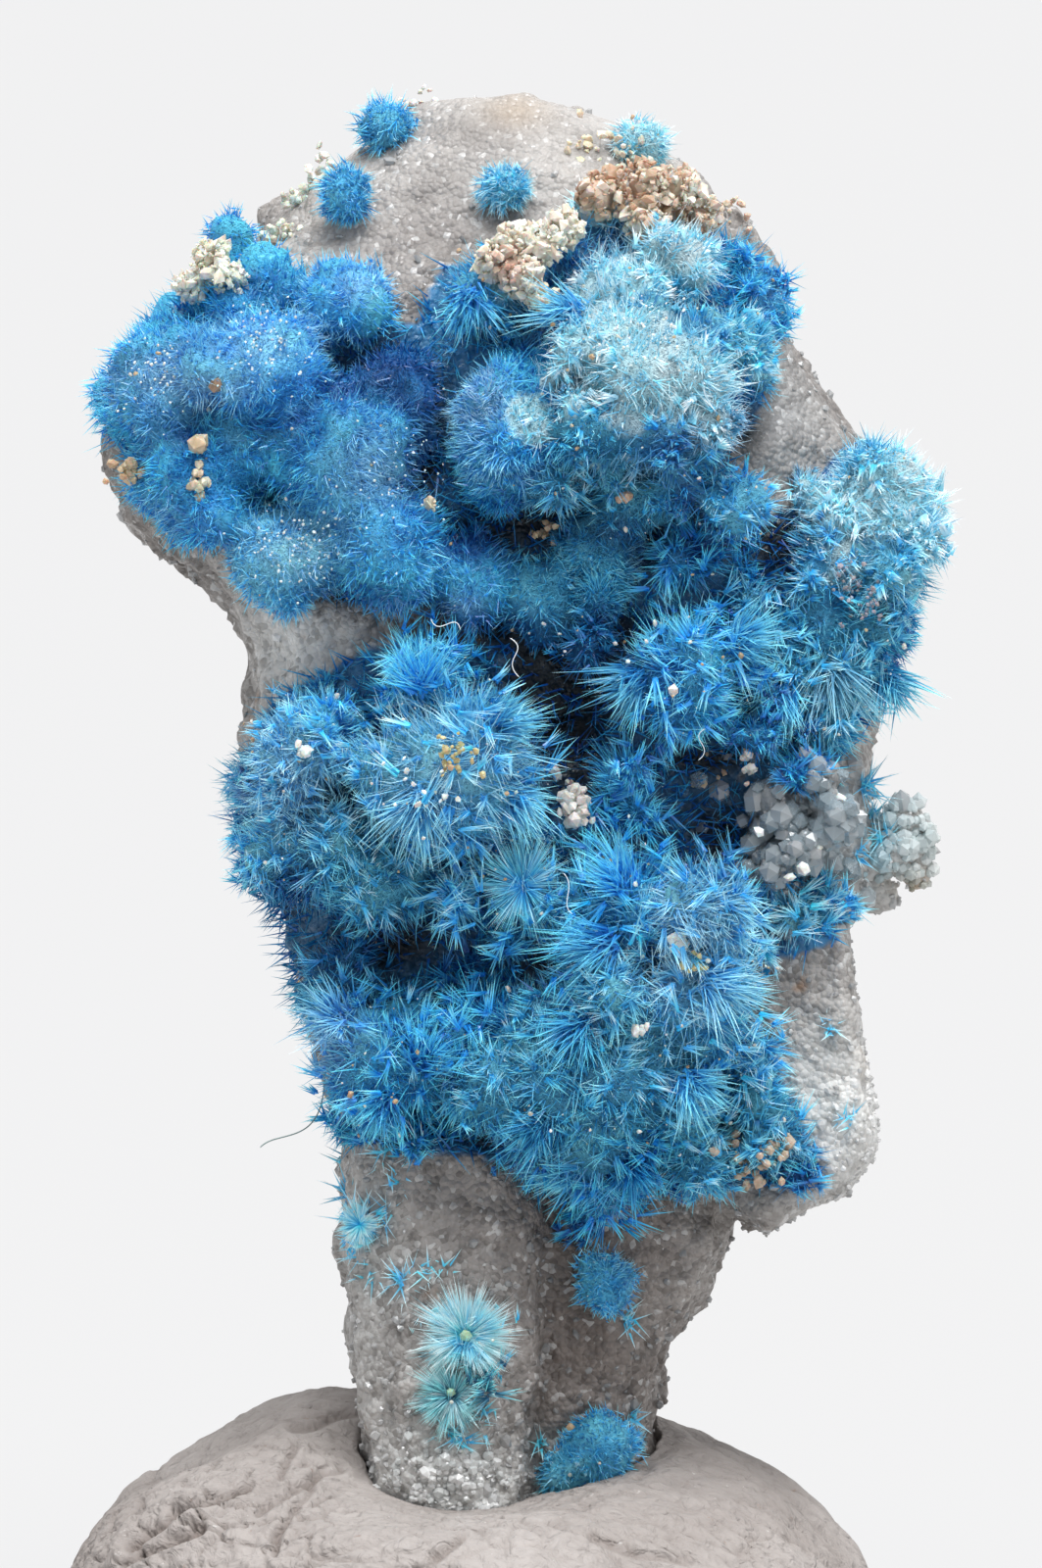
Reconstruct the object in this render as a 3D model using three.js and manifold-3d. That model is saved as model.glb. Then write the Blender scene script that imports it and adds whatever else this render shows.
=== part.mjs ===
// A hand specimen of cyanotrichite on quartz, standing in a lump of grey putty.
// The stone is one sugary quartz piece: a wide slab on a narrow foot. Blue balls and sprays of
// cyanotrichite needles grow on it, with a few lumps of cream and brown crust, and the foot is
// pressed into the putty. Millimetres, +Z up, origin at the middle of the putty's flat underside.
import * as THREE from "three";
import { mergeVertices } from "three/addons/utils/BufferGeometryUtils.js";
import Module from "manifold-3d";

const wasm = await Module();
wasm.setup();

// Driving dimensions
const LEAN_DEG = 12; // the stone leans back in the putty by this much
const GAP = 0.08; // clear space left between two pieces that touch
const PUTTY_HALF_WIDTH = 6.6;
const PUTTY_HALF_DEPTH = 6.1;
const PUTTY_HEIGHT = 5.3;
const WELD = 0.001; // vertices closer than this are one
const SLIVER = 0.2; // detail finer than this is smoothed off after a cut
const SEAT_SLACK = 0.12; // a seat is cut with its neighbour grown by this more, then smoothed

// Colours and finishes
const quartzGrey = { color: 0x8d8682, roughness: 0.55, metalness: 0 };
const azureNeedles = { color: 0x1f78c4, roughness: 0.45, metalness: 0 };
const paleNeedles = { color: 0x55b4d6, roughness: 0.5, metalness: 0 };
const creamCrust = { color: 0xd9c3a8, roughness: 0.7, metalness: 0 };
const brownCrust = { color: 0xa88a72, roughness: 0.7, metalness: 0 };
const greyPutty = { color: 0xb5aaa2, roughness: 0.8, metalness: 0 };

// Repeatable random numbers

// A number from 0 to 1 that depends only on three whole numbers and a seed.
function cellValue(i, j, k, seed) {
  let h = Math.imul(i, 374761393) + Math.imul(j, 668265263) + Math.imul(k, 1274126177);
  h = Math.imul(h + Math.imul(seed, 974634777), 1103515245);
  h = Math.imul(h ^ (h >>> 13), 1540483477);
  return ((h ^ (h >>> 15)) >>> 0) / 4294967295;
}

// A smooth field from -1 to 1 with bumps about one cell wide.
function field(p, cell, seed) {
  const q = [p.x / cell, p.y / cell, p.z / cell];
  const base = q.map(Math.floor);
  const blend = q.map((v, n) => {
    const t = v - base[n];
    return t * t * (3 - 2 * t);
  });
  let sum = 0;
  for (let corner = 0; corner < 8; corner++) {
    const step = [corner & 1, (corner >> 1) & 1, corner >> 2];
    const weight = step.reduce((w, s, n) => w * (s ? blend[n] : 1 - blend[n]), 1);
    sum += weight * cellValue(...base.map((b, n) => b + step[n]), seed);
  }
  return 2 * sum - 1;
}

// Solids

// The geometry with its shared vertices merged and nothing left but positions.
function welded(geometry) {
  const bare = geometry.clone();
  bare.deleteAttribute("normal");
  bare.deleteAttribute("uv");
  return mergeVertices(bare, WELD);
}

// Moves every vertex of a closed geometry; move takes a point and its outward normal.
function moulded(geometry, move) {
  const shape = welded(geometry);
  shape.computeVertexNormals();
  const places = shape.getAttribute("position");
  const normals = shape.getAttribute("normal");
  const point = new THREE.Vector3();
  const normal = new THREE.Vector3();
  for (let i = 0; i < places.count; i++) {
    point.fromBufferAttribute(places, i);
    normal.fromBufferAttribute(normals, i);
    move(point, normal, i);
    places.setXYZ(i, point.x, point.y, point.z);
  }
  return welded(shape);
}

// The same form grown outwards all over.
function swollen(geometry, by) {
  return moulded(geometry, (point, normal) => point.addScaledVector(normal, by));
}

function solidOf(geometry) {
  const shape = welded(geometry);
  return new wasm.Manifold(
    new wasm.Mesh({
      numProp: 3,
      vertProperties: shape.getAttribute("position").array,
      triVerts: new Uint32Array(shape.index.array),
    }),
  );
}

function joined(solids) {
  return solids.reduce((whole, next) => whole.add(next));
}

// The largest body of a solid, with the slivers of a cut smoothed off: a loose crumb is dropped.
function largestBody(solid) {
  const bodies = solidOf(geometryOf(solid.simplify(SLIVER))).decompose();
  return bodies.reduce((a, b) => (a.volume() > b.volume() ? a : b));
}

function geometryOf(solid) {
  const mesh = solid.getMesh();
  const places = new Float32Array(mesh.numVert * 3);
  for (let i = 0; i < mesh.numVert; i++)
    places.set(mesh.vertProperties.subarray(i * mesh.numProp, i * mesh.numProp + 3), i * 3);
  const geometry = new THREE.BufferGeometry();
  geometry.setAttribute("position", new THREE.BufferAttribute(places, 3));
  geometry.setIndex(new THREE.BufferAttribute(mesh.triVerts, 1));
  geometry.computeVertexNormals();
  return geometry;
}

// Stone

// A rough block through level sections [up, left, right, front, back], with rounded corners.
function stoneBlock(levels, { around, rowStep, squareness, rough, seed }) {
  const rows = [];
  for (let n = 0; n + 1 < levels.length; n++) {
    const [low, high] = [levels[n], levels[n + 1]];
    const steps = Math.max(1, Math.round(Math.abs(high[0] - low[0]) / rowStep));
    for (let s = 0; s < steps; s++)
      rows.push(low.map((v, column) => v + ((high[column] - v) * s) / steps));
  }
  rows.push(levels.at(-1));
  const places = [];
  const power = 2 / squareness;
  for (const [up, left, right, front, back] of rows)
    for (let a = 0; a < around; a++) {
      const angle = (2 * Math.PI * a) / around;
      const [c, s] = [Math.cos(angle), Math.sin(angle)];
      places.push(
        (left + right) / 2 + ((right - left) / 2) * Math.sign(c) * Math.abs(c) ** power,
        (front + back) / 2 + ((back - front) / 2) * Math.sign(s) * Math.abs(s) ** power,
        up,
      );
    }
  const ends = [rows[0], rows.at(-1)];
  ends.forEach(([up, left, right, front, back]) =>
    places.push((left + right) / 2, (front + back) / 2, up),
  );
  const faces = [];
  const last = rows.length - 1;
  const [bottom, top] = [rows.length * around, rows.length * around + 1];
  for (let a = 0; a < around; a++) {
    const b = (a + 1) % around;
    for (let r = 0; r < last; r++) {
      const [p, q] = [r * around, (r + 1) * around];
      faces.push(p + a, p + b, q + b, p + a, q + b, q + a);
    }
    faces.push(bottom, b, a, top, last * around + a, last * around + b);
  }
  const block = new THREE.BufferGeometry();
  block.setAttribute("position", new THREE.Float32BufferAttribute(places, 3));
  block.setIndex(faces);
  return moulded(block, (point, normal) => {
    const swell = 0.6 * field(point, 2.3, seed) + 0.4 * field(point, 0.85, seed + 1);
    point.addScaledVector(normal, rough * swell);
  });
}

// The wide upper slab. Its right edge ends at the pale flange below.
const slabLevels = [
  [7.4, -1.9, 2.4, -0.6, 1.9],
  [8.3, -2.3, 3.4, -1.1, 2.3],
  [9.4, -2.4, 4.9, -1.7, 2.7],
  [11.0, -2.8, 5.5, -1.9, 3.0],
  [12.6, -3.2, 5.7, -1.9, 3.2],
  [13.9, -3.8, 5.9, -1.8, 3.4],
  [15.4, -3.8, 6.0, -1.8, 3.6],
  [17.0, -3.9, 6.2, -1.8, 3.8],
  [18.0, -4.5, 6.1, -1.8, 4.0],
  [19.0, -5.7, 5.9, -1.8, 4.1],
  [20.1, -6.0, 5.7, -1.8, 4.2],
  [21.2, -5.7, 5.1, -1.6, 4.2],
  [22.2, -5.1, 4.3, -1.3, 4.1],
  [23.1, -4.2, 3.8, -0.9, 3.9],
  [24.1, -2.8, 3.3, -0.3, 3.6],
  [24.9, -1.8, 2.1, 0.4, 3.2],
  [25.4, -1.1, 0.7, 1.1, 2.6],
];

// The pale rounded column in front of the foot, and the darker stone behind it.
const frontColumnLevels = [
  [2.0, -1.1, 0.1, -1.7, 0.2],
  [2.7, -1.7, 0.6, -2.1, 0.6],
  [4.2, -2.0, 0.7, -2.2, 0.9],
  [6.0, -2.1, 0.8, -2.1, 1.0],
  [7.8, -2.4, 0.9, -2.0, 1.0],
  [9.4, -2.2, 1.0, -1.8, 1.0],
];
const backColumnLevels = [
  [2.4, 0.1, 2.1, -0.7, 1.5],
  [3.3, -0.4, 2.6, -0.9, 1.8],
  [5.0, -0.5, 2.6, -1.0, 1.9],
  [6.0, -0.5, 2.9, -1.0, 2.0],
  [7.2, -0.6, 3.5, -1.1, 2.1],
  [8.4, -0.6, 3.8, -1.2, 2.2],
  [9.6, -0.6, 3.4, -1.2, 2.2],
];

// Broken corners that stand out of the stone's top, back and edges, [across, depth, up, radius].
const corners = [
  [-2.8, 2.6, 23.3, 1.1],
  [0.9, 2.7, 24.2, 1.4],
  [3.2, 2.2, 22.6, 1.5],
  [5.1, 1.8, 19.3, 1.3],
  [-4.6, 2.6, 20.4, 1.2],
  [0.6, 3.1, 17.6, 1.6],
  [3.4, 2.4, 14.2, 1.4],
  [-2.0, 2.3, 13.0, 1.2],
  [1.0, 1.7, 9.6, 1.1],
  [3.1, 0.8, 7.9, 0.75],
  [2.2, 0.9, 5.6, 0.7],
];

function brokenCorner([across, depth, up, radius], n) {
  const corner = new THREE.IcosahedronGeometry(radius, 0);
  return corner.rotateX(n).rotateZ(2 * n).translate(across, depth, up);
}

// The pale flange that stands out low on the right: a flat broken plate, seen edge [across, up].
const flangeOutline = [
  [3.0, 9.2],
  [3.7, 8.4],
  [4.2, 8.0],
  [5.5, 8.6],
  [5.9, 9.1],
  [5.8, 10.4],
  [5.9, 11.0],
  [5.6, 11.6],
  [5.5, 12.8],
  [3.2, 12.6],
];
const FLANGE_FRONT = -1.4;
const FLANGE_THICKNESS = 2.5;
const FLANGE_BEVEL = 0.25;

function flange() {
  const edge = new THREE.Shape(flangeOutline.map(([across, up]) => new THREE.Vector2(across, up)));
  const plate = new THREE.ExtrudeGeometry(edge, {
    depth: FLANGE_THICKNESS,
    bevelThickness: FLANGE_BEVEL,
    bevelSize: FLANGE_BEVEL,
    bevelOffset: -FLANGE_BEVEL,
    bevelSegments: 1,
  });
  plate.rotateX(Math.PI / 2);
  plate.translate(0, FLANGE_FRONT + FLANGE_THICKNESS, 0);
  return plate;
}

// A quartz crystal: a six-sided prism with a six-sided point, its foot at the given place.
function quartzCrystal(foot, direction, radius, length) {
  const profile = [
    [0, -0.5 * length],
    [radius, -0.5 * length],
    [radius, 0.55 * length],
    [0, length],
  ];
  const crystal = new THREE.LatheGeometry(profile.map(([r, y]) => new THREE.Vector2(r, y)), 6);
  const turn = new THREE.Quaternion().setFromUnitVectors(
    new THREE.Vector3(0, 1, 0),
    new THREE.Vector3(...direction).normalize(),
  );
  return crystal.applyQuaternion(turn).translate(...foot);
}

// Crystals on the druse right of the middle, [across, up, depth], and on the knob at its edge.
const druse = { left: 3.7, right: 5.9, low: 13.1, high: 15.0, depth: -1.75, count: 10 };
const knobCrystals = [
  [[6.1, 0.2, 13.9], [1, -0.3, 0.1], 0.42, 0.75],
  [[6.3, 0.1, 14.2], [0.7, -0.5, 0.8], 0.3, 0.6],
  [[6.5, 0.3, 13.6], [0.8, -0.4, -0.9], 0.3, 0.5],
  [[5.8, 0.6, 13.3], [0.9, -0.4, -0.8], 0.33, 0.6],
];

function druseCrystals() {
  return Array.from({ length: druse.count }, (_, n) => {
    const share = (n + 0.5) / druse.count;
    const across = druse.left + (druse.right - druse.left) * ((n * 0.618) % 1);
    const up = druse.low + (druse.high - druse.low) * share;
    const tilt = [cellValue(n, 1, 0, 5) - 0.5, -0.8, cellValue(n, 2, 0, 5) - 0.4];
    const radius = 0.2 + 0.12 * cellValue(n, 3, 0, 5);
    return quartzCrystal([across, druse.depth, up], tilt, radius, 1.9 * radius);
  });
}

// Dark hollows between the sprays, [across, depth, up, radius].
const hollows = [
  [1.3, -2.4, 15.6, 1.0],
  [3.5, -2.2, 14.0, 0.75],
  [-1.0, -2.3, 12.1, 0.8],
  [0.3, -2.3, 18.9, 0.8],
  [-0.9, -2.2, 19.9, 0.6],
];

// The whole stone, or the same stone grown by a gap, which the other pieces are cut with.
function stone(grown) {
  const block = { around: 18, rowStep: 1.5, squareness: 2.7, rough: 0.34, seed: 11 };
  const column = { around: 10, rowStep: 1.3, squareness: 2.4, rough: 0.24, seed: 23 };
  const forms = [
    stoneBlock(slabLevels, block),
    stoneBlock(frontColumnLevels, column),
    stoneBlock(backColumnLevels, { ...column, seed: 31 }),
    flange(),
    ...corners.map(brokenCorner),
    ...druseCrystals(),
    ...knobCrystals.map((crystal) => quartzCrystal(...crystal)),
  ];
  const whole = joined(forms.map((form) => solidOf(grown ? swollen(form, grown) : form)));
  const cavities = hollows.map(([across, depth, up, radius]) => {
    const cavity = new THREE.DodecahedronGeometry(radius - grown, 0);
    return solidOf(cavity.translate(across, depth, up));
  });
  return whole.subtract(joined(cavities));
}

// Cyanotrichite

// A ball of needles [across, depth, up, radius]: every third vertex or so is the tip of a spine.
function needleBall([across, depth, up, radius], spines, grown) {
  const detail = radius > 1.38 ? 2 : 1;
  const seed = Math.round(37 * across + 91 * up);
  return moulded(new THREE.IcosahedronGeometry(1, detail), (point, _normal, n) => {
    const chance = cellValue(n, seed, 0, 3);
    const reach = chance > 0.6 ? 1 + spines * (chance - 0.6) : 1 - 0.55 * spines * (1 - chance);
    point.multiplyScalar(radius * reach + grown);
  }).translate(across, depth, up);
}

function needleMass({ balls, spines = 0.3 }, grown = 0) {
  return joined(balls.map((ball) => solidOf(needleBall(ball, spines, grown))));
}

// The masses of balls that have grown together, and the tufts that stand alone.
const needleMasses = {
  spray_lower: {
    finish: azureNeedles,
    spines: 0.36,
    balls: [
      [2.1, -2.5, 12.75, 1.4],
      [3.1, -2.6, 11.55, 1.5],
      [1.65, -2.5, 10.35, 1.7],
      [0.0, -2.0, 10.95, 1.3],
      [-1.5, -2.2, 10.6, 1.35],
      [-2.2, -1.6, 11.85, 0.95],
      [0.5, -2.0, 9.4, 0.75],
      [1.7, -2.0, 8.75, 0.85],
      [3.15, -2.1, 9.15, 0.9],
      [4.35, -1.8, 9.5, 0.75],
      [4.05, -2.1, 10.5, 0.7],
    ],
  },
  spray_middle: {
    finish: azureNeedles,
    spines: 0.36,
    balls: [
      [-0.9, -2.1, 16.5, 1.05],
      [-0.55, -2.9, 15.15, 1.6],
      [-2.75, -2.2, 15.4, 1.15],
      [-3.0, -1.9, 13.9, 1.0],
      [-1.5, -2.1, 13.4, 1.05],
      [0.5, -2.5, 13.3, 0.95],
      [1.95, -2.2, 14.4, 0.9],
    ],
  },
  spray_shoulder: {
    finish: paleNeedles,
    spines: 0.3,
    balls: [
      [6.0, -0.9, 19.05, 1.1],
      [6.1, -0.7, 18.0, 0.75],
      [5.25, -1.2, 17.3, 1.1],
      [5.2, -1.2, 15.9, 0.85],
      [2.85, -2.6, 16.5, 1.3],
      [4.05, -2.2, 15.6, 0.55],
      [4.2, -1.7, 17.0, 0.8],
      [1.5, -2.2, 16.9, 0.7],
    ],
  },
  spray_head_right: {
    finish: paleNeedles,
    spines: 0.26,
    balls: [
      [2.3, -2.5, 20.9, 1.45],
      [0.4, -2.3, 20.1, 1.15],
      [-0.15, -1.4, 22.3, 0.9],
      [1.8, -1.6, 22.05, 0.95],
      [2.85, -1.2, 22.8, 0.75],
      [3.8, -1.6, 21.6, 0.75],
      [2.1, -2.0, 19.35, 1.1],
      [3.85, -2.5, 19.1, 0.65],
      [3.0, -1.8, 18.3, 0.95],
      [1.65, -1.7, 18.4, 0.85],
    ],
  },
  spray_head_left: {
    finish: azureNeedles,
    spines: 0.16,
    balls: [
      [-4.8, -1.4, 20.85, 1.2],
      [-3.4, -2.1, 21.2, 1.1],
      [-2.1, -1.7, 22.2, 0.8],
      [-1.4, -2.0, 20.9, 0.75],
      [-2.3, -2.2, 19.95, 1.25],
      [-4.4, -1.6, 19.6, 1.2],
      [-3.1, -2.1, 18.3, 0.95],
      [-1.6, -2.1, 18.5, 1.15],
      [-0.3, -1.9, 18.0, 0.85],
      [0.75, -1.75, 17.6, 0.8],
    ],
  },
  spray_side: {
    finish: paleNeedles,
    balls: [
      [4.6, -1.5, 12.75, 0.6],
      [5.2, -1.3, 12.9, 0.5],
    ],
  },
  tuft_foot: {
    finish: paleNeedles,
    spines: 0.4,
    balls: [
      [-0.35, -1.9, 6.4, 0.85],
      [-0.55, -1.95, 5.5, 0.75],
    ],
  },
  tuft_foot_left: { finish: paleNeedles, balls: [[-1.95, -1.7, 8.1, 0.45]] },
  patch_foot_high: { finish: azureNeedles, balls: [[1.8, -1.2, 7.2, 0.55]] },
  patch_foot_low: {
    finish: azureNeedles,
    spines: 0.2,
    balls: [
      [1.65, -1.0, 4.7, 0.65],
      [1.1, -1.0, 4.25, 0.45],
    ],
  },
  tuft_top: { finish: azureNeedles, balls: [[-1.6, 0.9, 25.0, 0.5]] },
  tuft_top_left: { finish: azureNeedles, balls: [[-2.2, -0.5, 23.9, 0.5]] },
  tuft_top_far_left: { finish: azureNeedles, balls: [[-4.0, 0.4, 23.3, 0.5]] },
  tuft_top_middle: { finish: azureNeedles, balls: [[0.2, -0.6, 24.0, 0.45]] },
  tuft_top_right: { finish: paleNeedles, balls: [[2.3, 0.5, 24.7, 0.5]] },
  tuft_head_edge: {
    finish: azureNeedles,
    balls: [
      [4.05, 0.0, 22.35, 0.55],
      [4.3, 0.1, 21.8, 0.5],
    ],
  },
  tuft_back_high: {
    finish: azureNeedles,
    balls: [
      [-1.6, 4.1, 20.4, 1.0],
      [-0.5, 4.1, 21.2, 0.8],
    ],
  },
  tuft_back_low: { finish: paleNeedles, balls: [[1.9, 3.2, 14.6, 0.85]] },
};

// Crust

// A cluster of small round grains [across, depth, up, radius] grown together.
function crust(grains, grown) {
  return joined(
    grains.map(([across, depth, up, radius]) => {
      const grain = new THREE.IcosahedronGeometry(radius + grown, 0);
      return solidOf(grain.rotateZ(across).rotateX(up).translate(across, depth, up));
    }),
  );
}

const crusts = {
  crust_cream: {
    finish: creamCrust,
    grains: [
      [0.1, -2.0, 22.85, 0.36],
      [0.5, -2.15, 22.6, 0.36],
      [0.35, -1.9, 23.15, 0.34],
      [0.8, -1.8, 23.1, 0.38],
      [1.15, -1.5, 23.4, 0.34],
      [0.75, -2.1, 22.3, 0.25],
    ],
  },
  crust_brown: {
    finish: brownCrust,
    grains: [
      [1.7, -0.9, 23.9, 0.42],
      [2.3, -0.8, 24.05, 0.45],
      [2.85, -0.5, 24.0, 0.42],
      [3.2, -0.3, 23.6, 0.4],
      [2.4, -1.0, 23.5, 0.4],
    ],
  },
  crust_left: {
    finish: creamCrust,
    grains: [
      [-4.3, -0.6, 22.9, 0.36],
      [-4.0, -0.8, 22.6, 0.3],
      [-4.6, -0.5, 22.5, 0.28],
    ],
  },
};

// Putty

// Swells (positive) and dents of the lump: [across, depth, height change, spread].
const puttyForms = [
  [-0.4, -0.6, -1.25, 2.3],
  [1.6, 0.6, -0.5, 1.5],
  [-2.5, 1.6, 0.18, 1.25],
  [-4.4, 1.2, -0.48, 1.35],
  [4.3, -1.5, -0.3, 2.0],
  [6.6, 0.6, -0.75, 2.2],
];
const PUTTY_SHIFT = 0.35; // everything above the widest level stands this far left of the underside

// A pressed ball: the profile is a quarter of a superellipse above the widest level and a short
// tuck below it, and the top is then raised and dented.
function puttyLump() {
  const widest = 1.7;
  const tuckedIn = 0.9;
  const steps = 8;
  const profile = [new THREE.Vector2(0, 0), new THREE.Vector2(tuckedIn, 0), new THREE.Vector2(0.975, 0.7)];
  for (let n = 0; n < steps; n++) {
    const angle = (Math.PI / 2) * (n / steps);
    profile.push(
      new THREE.Vector2(
        Math.cos(angle) ** 0.85,
        widest + (PUTTY_HEIGHT - widest) * Math.sin(angle) ** 0.95,
      ),
    );
  }
  profile.push(new THREE.Vector2(0, PUTTY_HEIGHT));
  const ball = new THREE.LatheGeometry(profile, 30);
  ball.rotateX(Math.PI / 2);
  ball.scale(PUTTY_HALF_WIDTH, PUTTY_HALF_DEPTH, 1);
  return moulded(ball, (point, normal) => {
    if (point.z < WELD) return;
    const share = Math.min(1, point.z / widest);
    point.addScaledVector(normal, share * (0.3 * field(point, 2.6, 41) + 0.1 * field(point, 1.1, 42)));
    for (const [across, depth, rise, spread] of puttyForms) {
      const distance = Math.hypot(point.x - across, point.y - depth) / spread;
      point.z += share * rise * Math.exp(-distance * distance);
    }
    point.x -= share * PUTTY_SHIFT;
  });
}

// Assembly

const lean = new THREE.Matrix4().makeRotationX(-THREE.MathUtils.degToRad(LEAN_DEG));
const specimen = new THREE.Group();
specimen.setRotationFromMatrix(lean);
const part = new THREE.Group();
part.add(specimen);

function addPiece(group, name, solid, finish) {
  const piece = new THREE.Mesh(geometryOf(solid), new THREE.MeshStandardMaterial(finish));
  piece.name = name;
  group.add(piece);
}

addPiece(specimen, "matrix", largestBody(stone(0)), quartzGrey);

// Each mass is cut back from everything that is already in its place.
const seat = (grow) => grow(GAP + SEAT_SLACK).simplify(SEAT_SLACK);
let taken = seat(stone);
const leaningStone = solidOf(geometryOf(taken).applyMatrix4(lean));
for (const [name, mass] of Object.entries(needleMasses)) {
  addPiece(specimen, name, largestBody(needleMass(mass).subtract(taken)), mass.finish);
  taken = taken.add(seat((grown) => needleMass(mass, grown)));
}
for (const [name, mass] of Object.entries(crusts)) {
  addPiece(specimen, name, largestBody(crust(mass.grains, 0).subtract(taken)), mass.finish);
  taken = taken.add(seat((grown) => crust(mass.grains, grown)));
}
addPiece(part, "putty", largestBody(solidOf(puttyLump()).subtract(leaningStone)), greyPutty);

export default part;
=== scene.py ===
"""A hand specimen of cyanotrichite on quartz, standing in a lump of grey putty.

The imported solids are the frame: the stone, the masses of needle balls, the crusts and the putty.
Each piece here stands for one of them at the same place and size, with its real surface: single
needles, sugary quartz grains, crust grains, loose dust and creased putty.
Lengths are in millimetres, and places in the specimen's own axes [across, depth, up], which lean
back in the frame; only the stone's relief and the putty are worked out in the frame's own axes.
The meshes are written in metres.
"""

import math
from itertools import product

import bmesh
import bpy
import numpy as np
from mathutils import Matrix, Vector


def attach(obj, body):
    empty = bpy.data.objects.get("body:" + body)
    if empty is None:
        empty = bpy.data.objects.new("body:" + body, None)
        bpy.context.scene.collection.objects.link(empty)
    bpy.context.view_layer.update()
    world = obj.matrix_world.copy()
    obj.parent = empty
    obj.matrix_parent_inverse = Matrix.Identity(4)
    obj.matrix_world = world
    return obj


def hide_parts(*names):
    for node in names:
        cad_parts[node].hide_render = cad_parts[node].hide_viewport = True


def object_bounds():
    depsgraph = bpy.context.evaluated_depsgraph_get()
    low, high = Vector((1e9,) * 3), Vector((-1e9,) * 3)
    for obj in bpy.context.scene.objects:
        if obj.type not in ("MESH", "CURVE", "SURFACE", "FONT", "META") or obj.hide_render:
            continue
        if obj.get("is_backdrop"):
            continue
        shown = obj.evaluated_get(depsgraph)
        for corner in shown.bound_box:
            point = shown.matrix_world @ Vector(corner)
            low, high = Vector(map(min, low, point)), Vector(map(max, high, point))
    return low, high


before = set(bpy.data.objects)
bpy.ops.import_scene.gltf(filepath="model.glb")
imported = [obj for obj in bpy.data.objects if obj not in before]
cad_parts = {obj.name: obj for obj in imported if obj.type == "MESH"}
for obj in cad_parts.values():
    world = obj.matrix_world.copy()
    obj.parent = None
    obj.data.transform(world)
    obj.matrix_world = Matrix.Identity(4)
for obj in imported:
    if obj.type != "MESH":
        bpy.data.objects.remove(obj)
cad_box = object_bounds()

# Camera
# A macro photograph: a long lens 30 centimetres away that looks down on the specimen by 12
# degrees, so the leaning stone is seen square on.

LEAN = math.radians(12)
MM = 0.001
PIXEL = 0.015  # millimetres across one pixel of the photograph
AXIS_PIXEL = 500  # the photograph's column that holds across = 0
GROUND_PIXEL = 1790  # and the row that holds up = 0
MIDDLE_PIXEL = (531.5, 800)
FOCAL_LENGTH = 450
SENSOR_WIDTH = 36
CAMERA_DEPTH = -302.0


def leaned(points):
    """Specimen millimetres to frame metres: turned back about X by the lean."""
    across, depth, up = np.moveaxis(np.asarray(points, float), -1, 0)
    back = depth * math.cos(LEAN) + up * math.sin(LEAN)
    height = up * math.cos(LEAN) - depth * math.sin(LEAN)
    return MM * np.stack([across, back, height], axis=-1)


def upright(points):
    """Frame metres to specimen millimetres, the inverse of leaned."""
    across, back, height = np.moveaxis(np.asarray(points, float) / MM, -1, 0)
    depth = back * math.cos(LEAN) - height * math.sin(LEAN)
    up = back * math.sin(LEAN) + height * math.cos(LEAN)
    return np.stack([across, depth, up], axis=-1)


def seen_at(column, row):
    """The across and up of a pixel of the photograph."""
    return (column - AXIS_PIXEL) * PIXEL, (GROUND_PIXEL - row) * PIXEL


lens = bpy.data.cameras.new("camera")
lens.lens = FOCAL_LENGTH
lens.sensor_width = SENSOR_WIDTH
lens.clip_start = 0.01
camera = bpy.data.objects.new("camera", lens)
bpy.context.scene.collection.objects.link(camera)
aim_across, aim_up = seen_at(*MIDDLE_PIXEL)
camera.location = leaned([aim_across, CAMERA_DEPTH, aim_up])
camera.rotation_euler = (math.pi / 2 - LEAN, 0, 0)
bpy.context.scene.camera = camera

# Floor, backdrop and light
# A pale sweep: a floor that curves up into a wall behind, lit evenly by soft boxes above, at the
# left and at the right, with pale light all round.


def mesh_of(name, points, triangles, smooth=False, **colours):
    """A mesh from arrays of points and of triangles' corners, smooth all over or where told, with
    point colours."""
    mesh = bpy.data.meshes.new(name)
    mesh.vertices.add(len(points))
    mesh.vertices.foreach_set("co", np.asarray(points, np.float32).ravel())
    mesh.loops.add(triangles.size)
    mesh.loops.foreach_set("vertex_index", np.asarray(triangles, np.int32).ravel())
    mesh.polygons.add(len(triangles))
    mesh.polygons.foreach_set("loop_start", np.arange(0, triangles.size, 3, dtype=np.int32))
    mesh.update(calc_edges=True)
    mesh.polygons.foreach_set("use_smooth", np.full(len(triangles), smooth))
    for key, values in colours.items():
        paint(mesh, key, values)
    return mesh


def paint(mesh, key, values):
    """Writes a colour attribute: one row of three numbers for each point."""
    layer = mesh.color_attributes.new(key, "FLOAT_COLOR", "POINT")
    rows = np.ones((len(mesh.vertices), 4), np.float32)
    rows[:, :3] = values
    layer.data.foreach_set("color", rows.ravel())


def placed(mesh, finish):
    """An object with this mesh and finish, at the origin."""
    thing = bpy.data.objects.new(mesh.name, mesh)
    mesh.materials.append(finish)
    bpy.context.scene.collection.objects.link(thing)
    return thing


def grid_faces(rows, columns, closed=False):
    """Two triangles for each cell of a grid of points, rows after rows; closed joins the ends."""
    row, column = np.mgrid[0 : rows - 1, 0 : columns - (0 if closed else 1)]
    a = row * columns + column
    b = row * columns + (column + 1) % columns
    c, d = a + columns, b + columns
    return np.stack([a, b, d, a, d, c], axis=-1).reshape(-1, 3)


def set_socket(socket, value):
    """Links a wire to a shader's socket, or sets the socket to a number, colour or vector."""
    if isinstance(value, Wire):
        value.feed(socket)
    elif isinstance(value, tuple) and socket.type == "RGBA":
        socket.default_value = (*value, 1)
    else:
        socket.default_value = value


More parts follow.
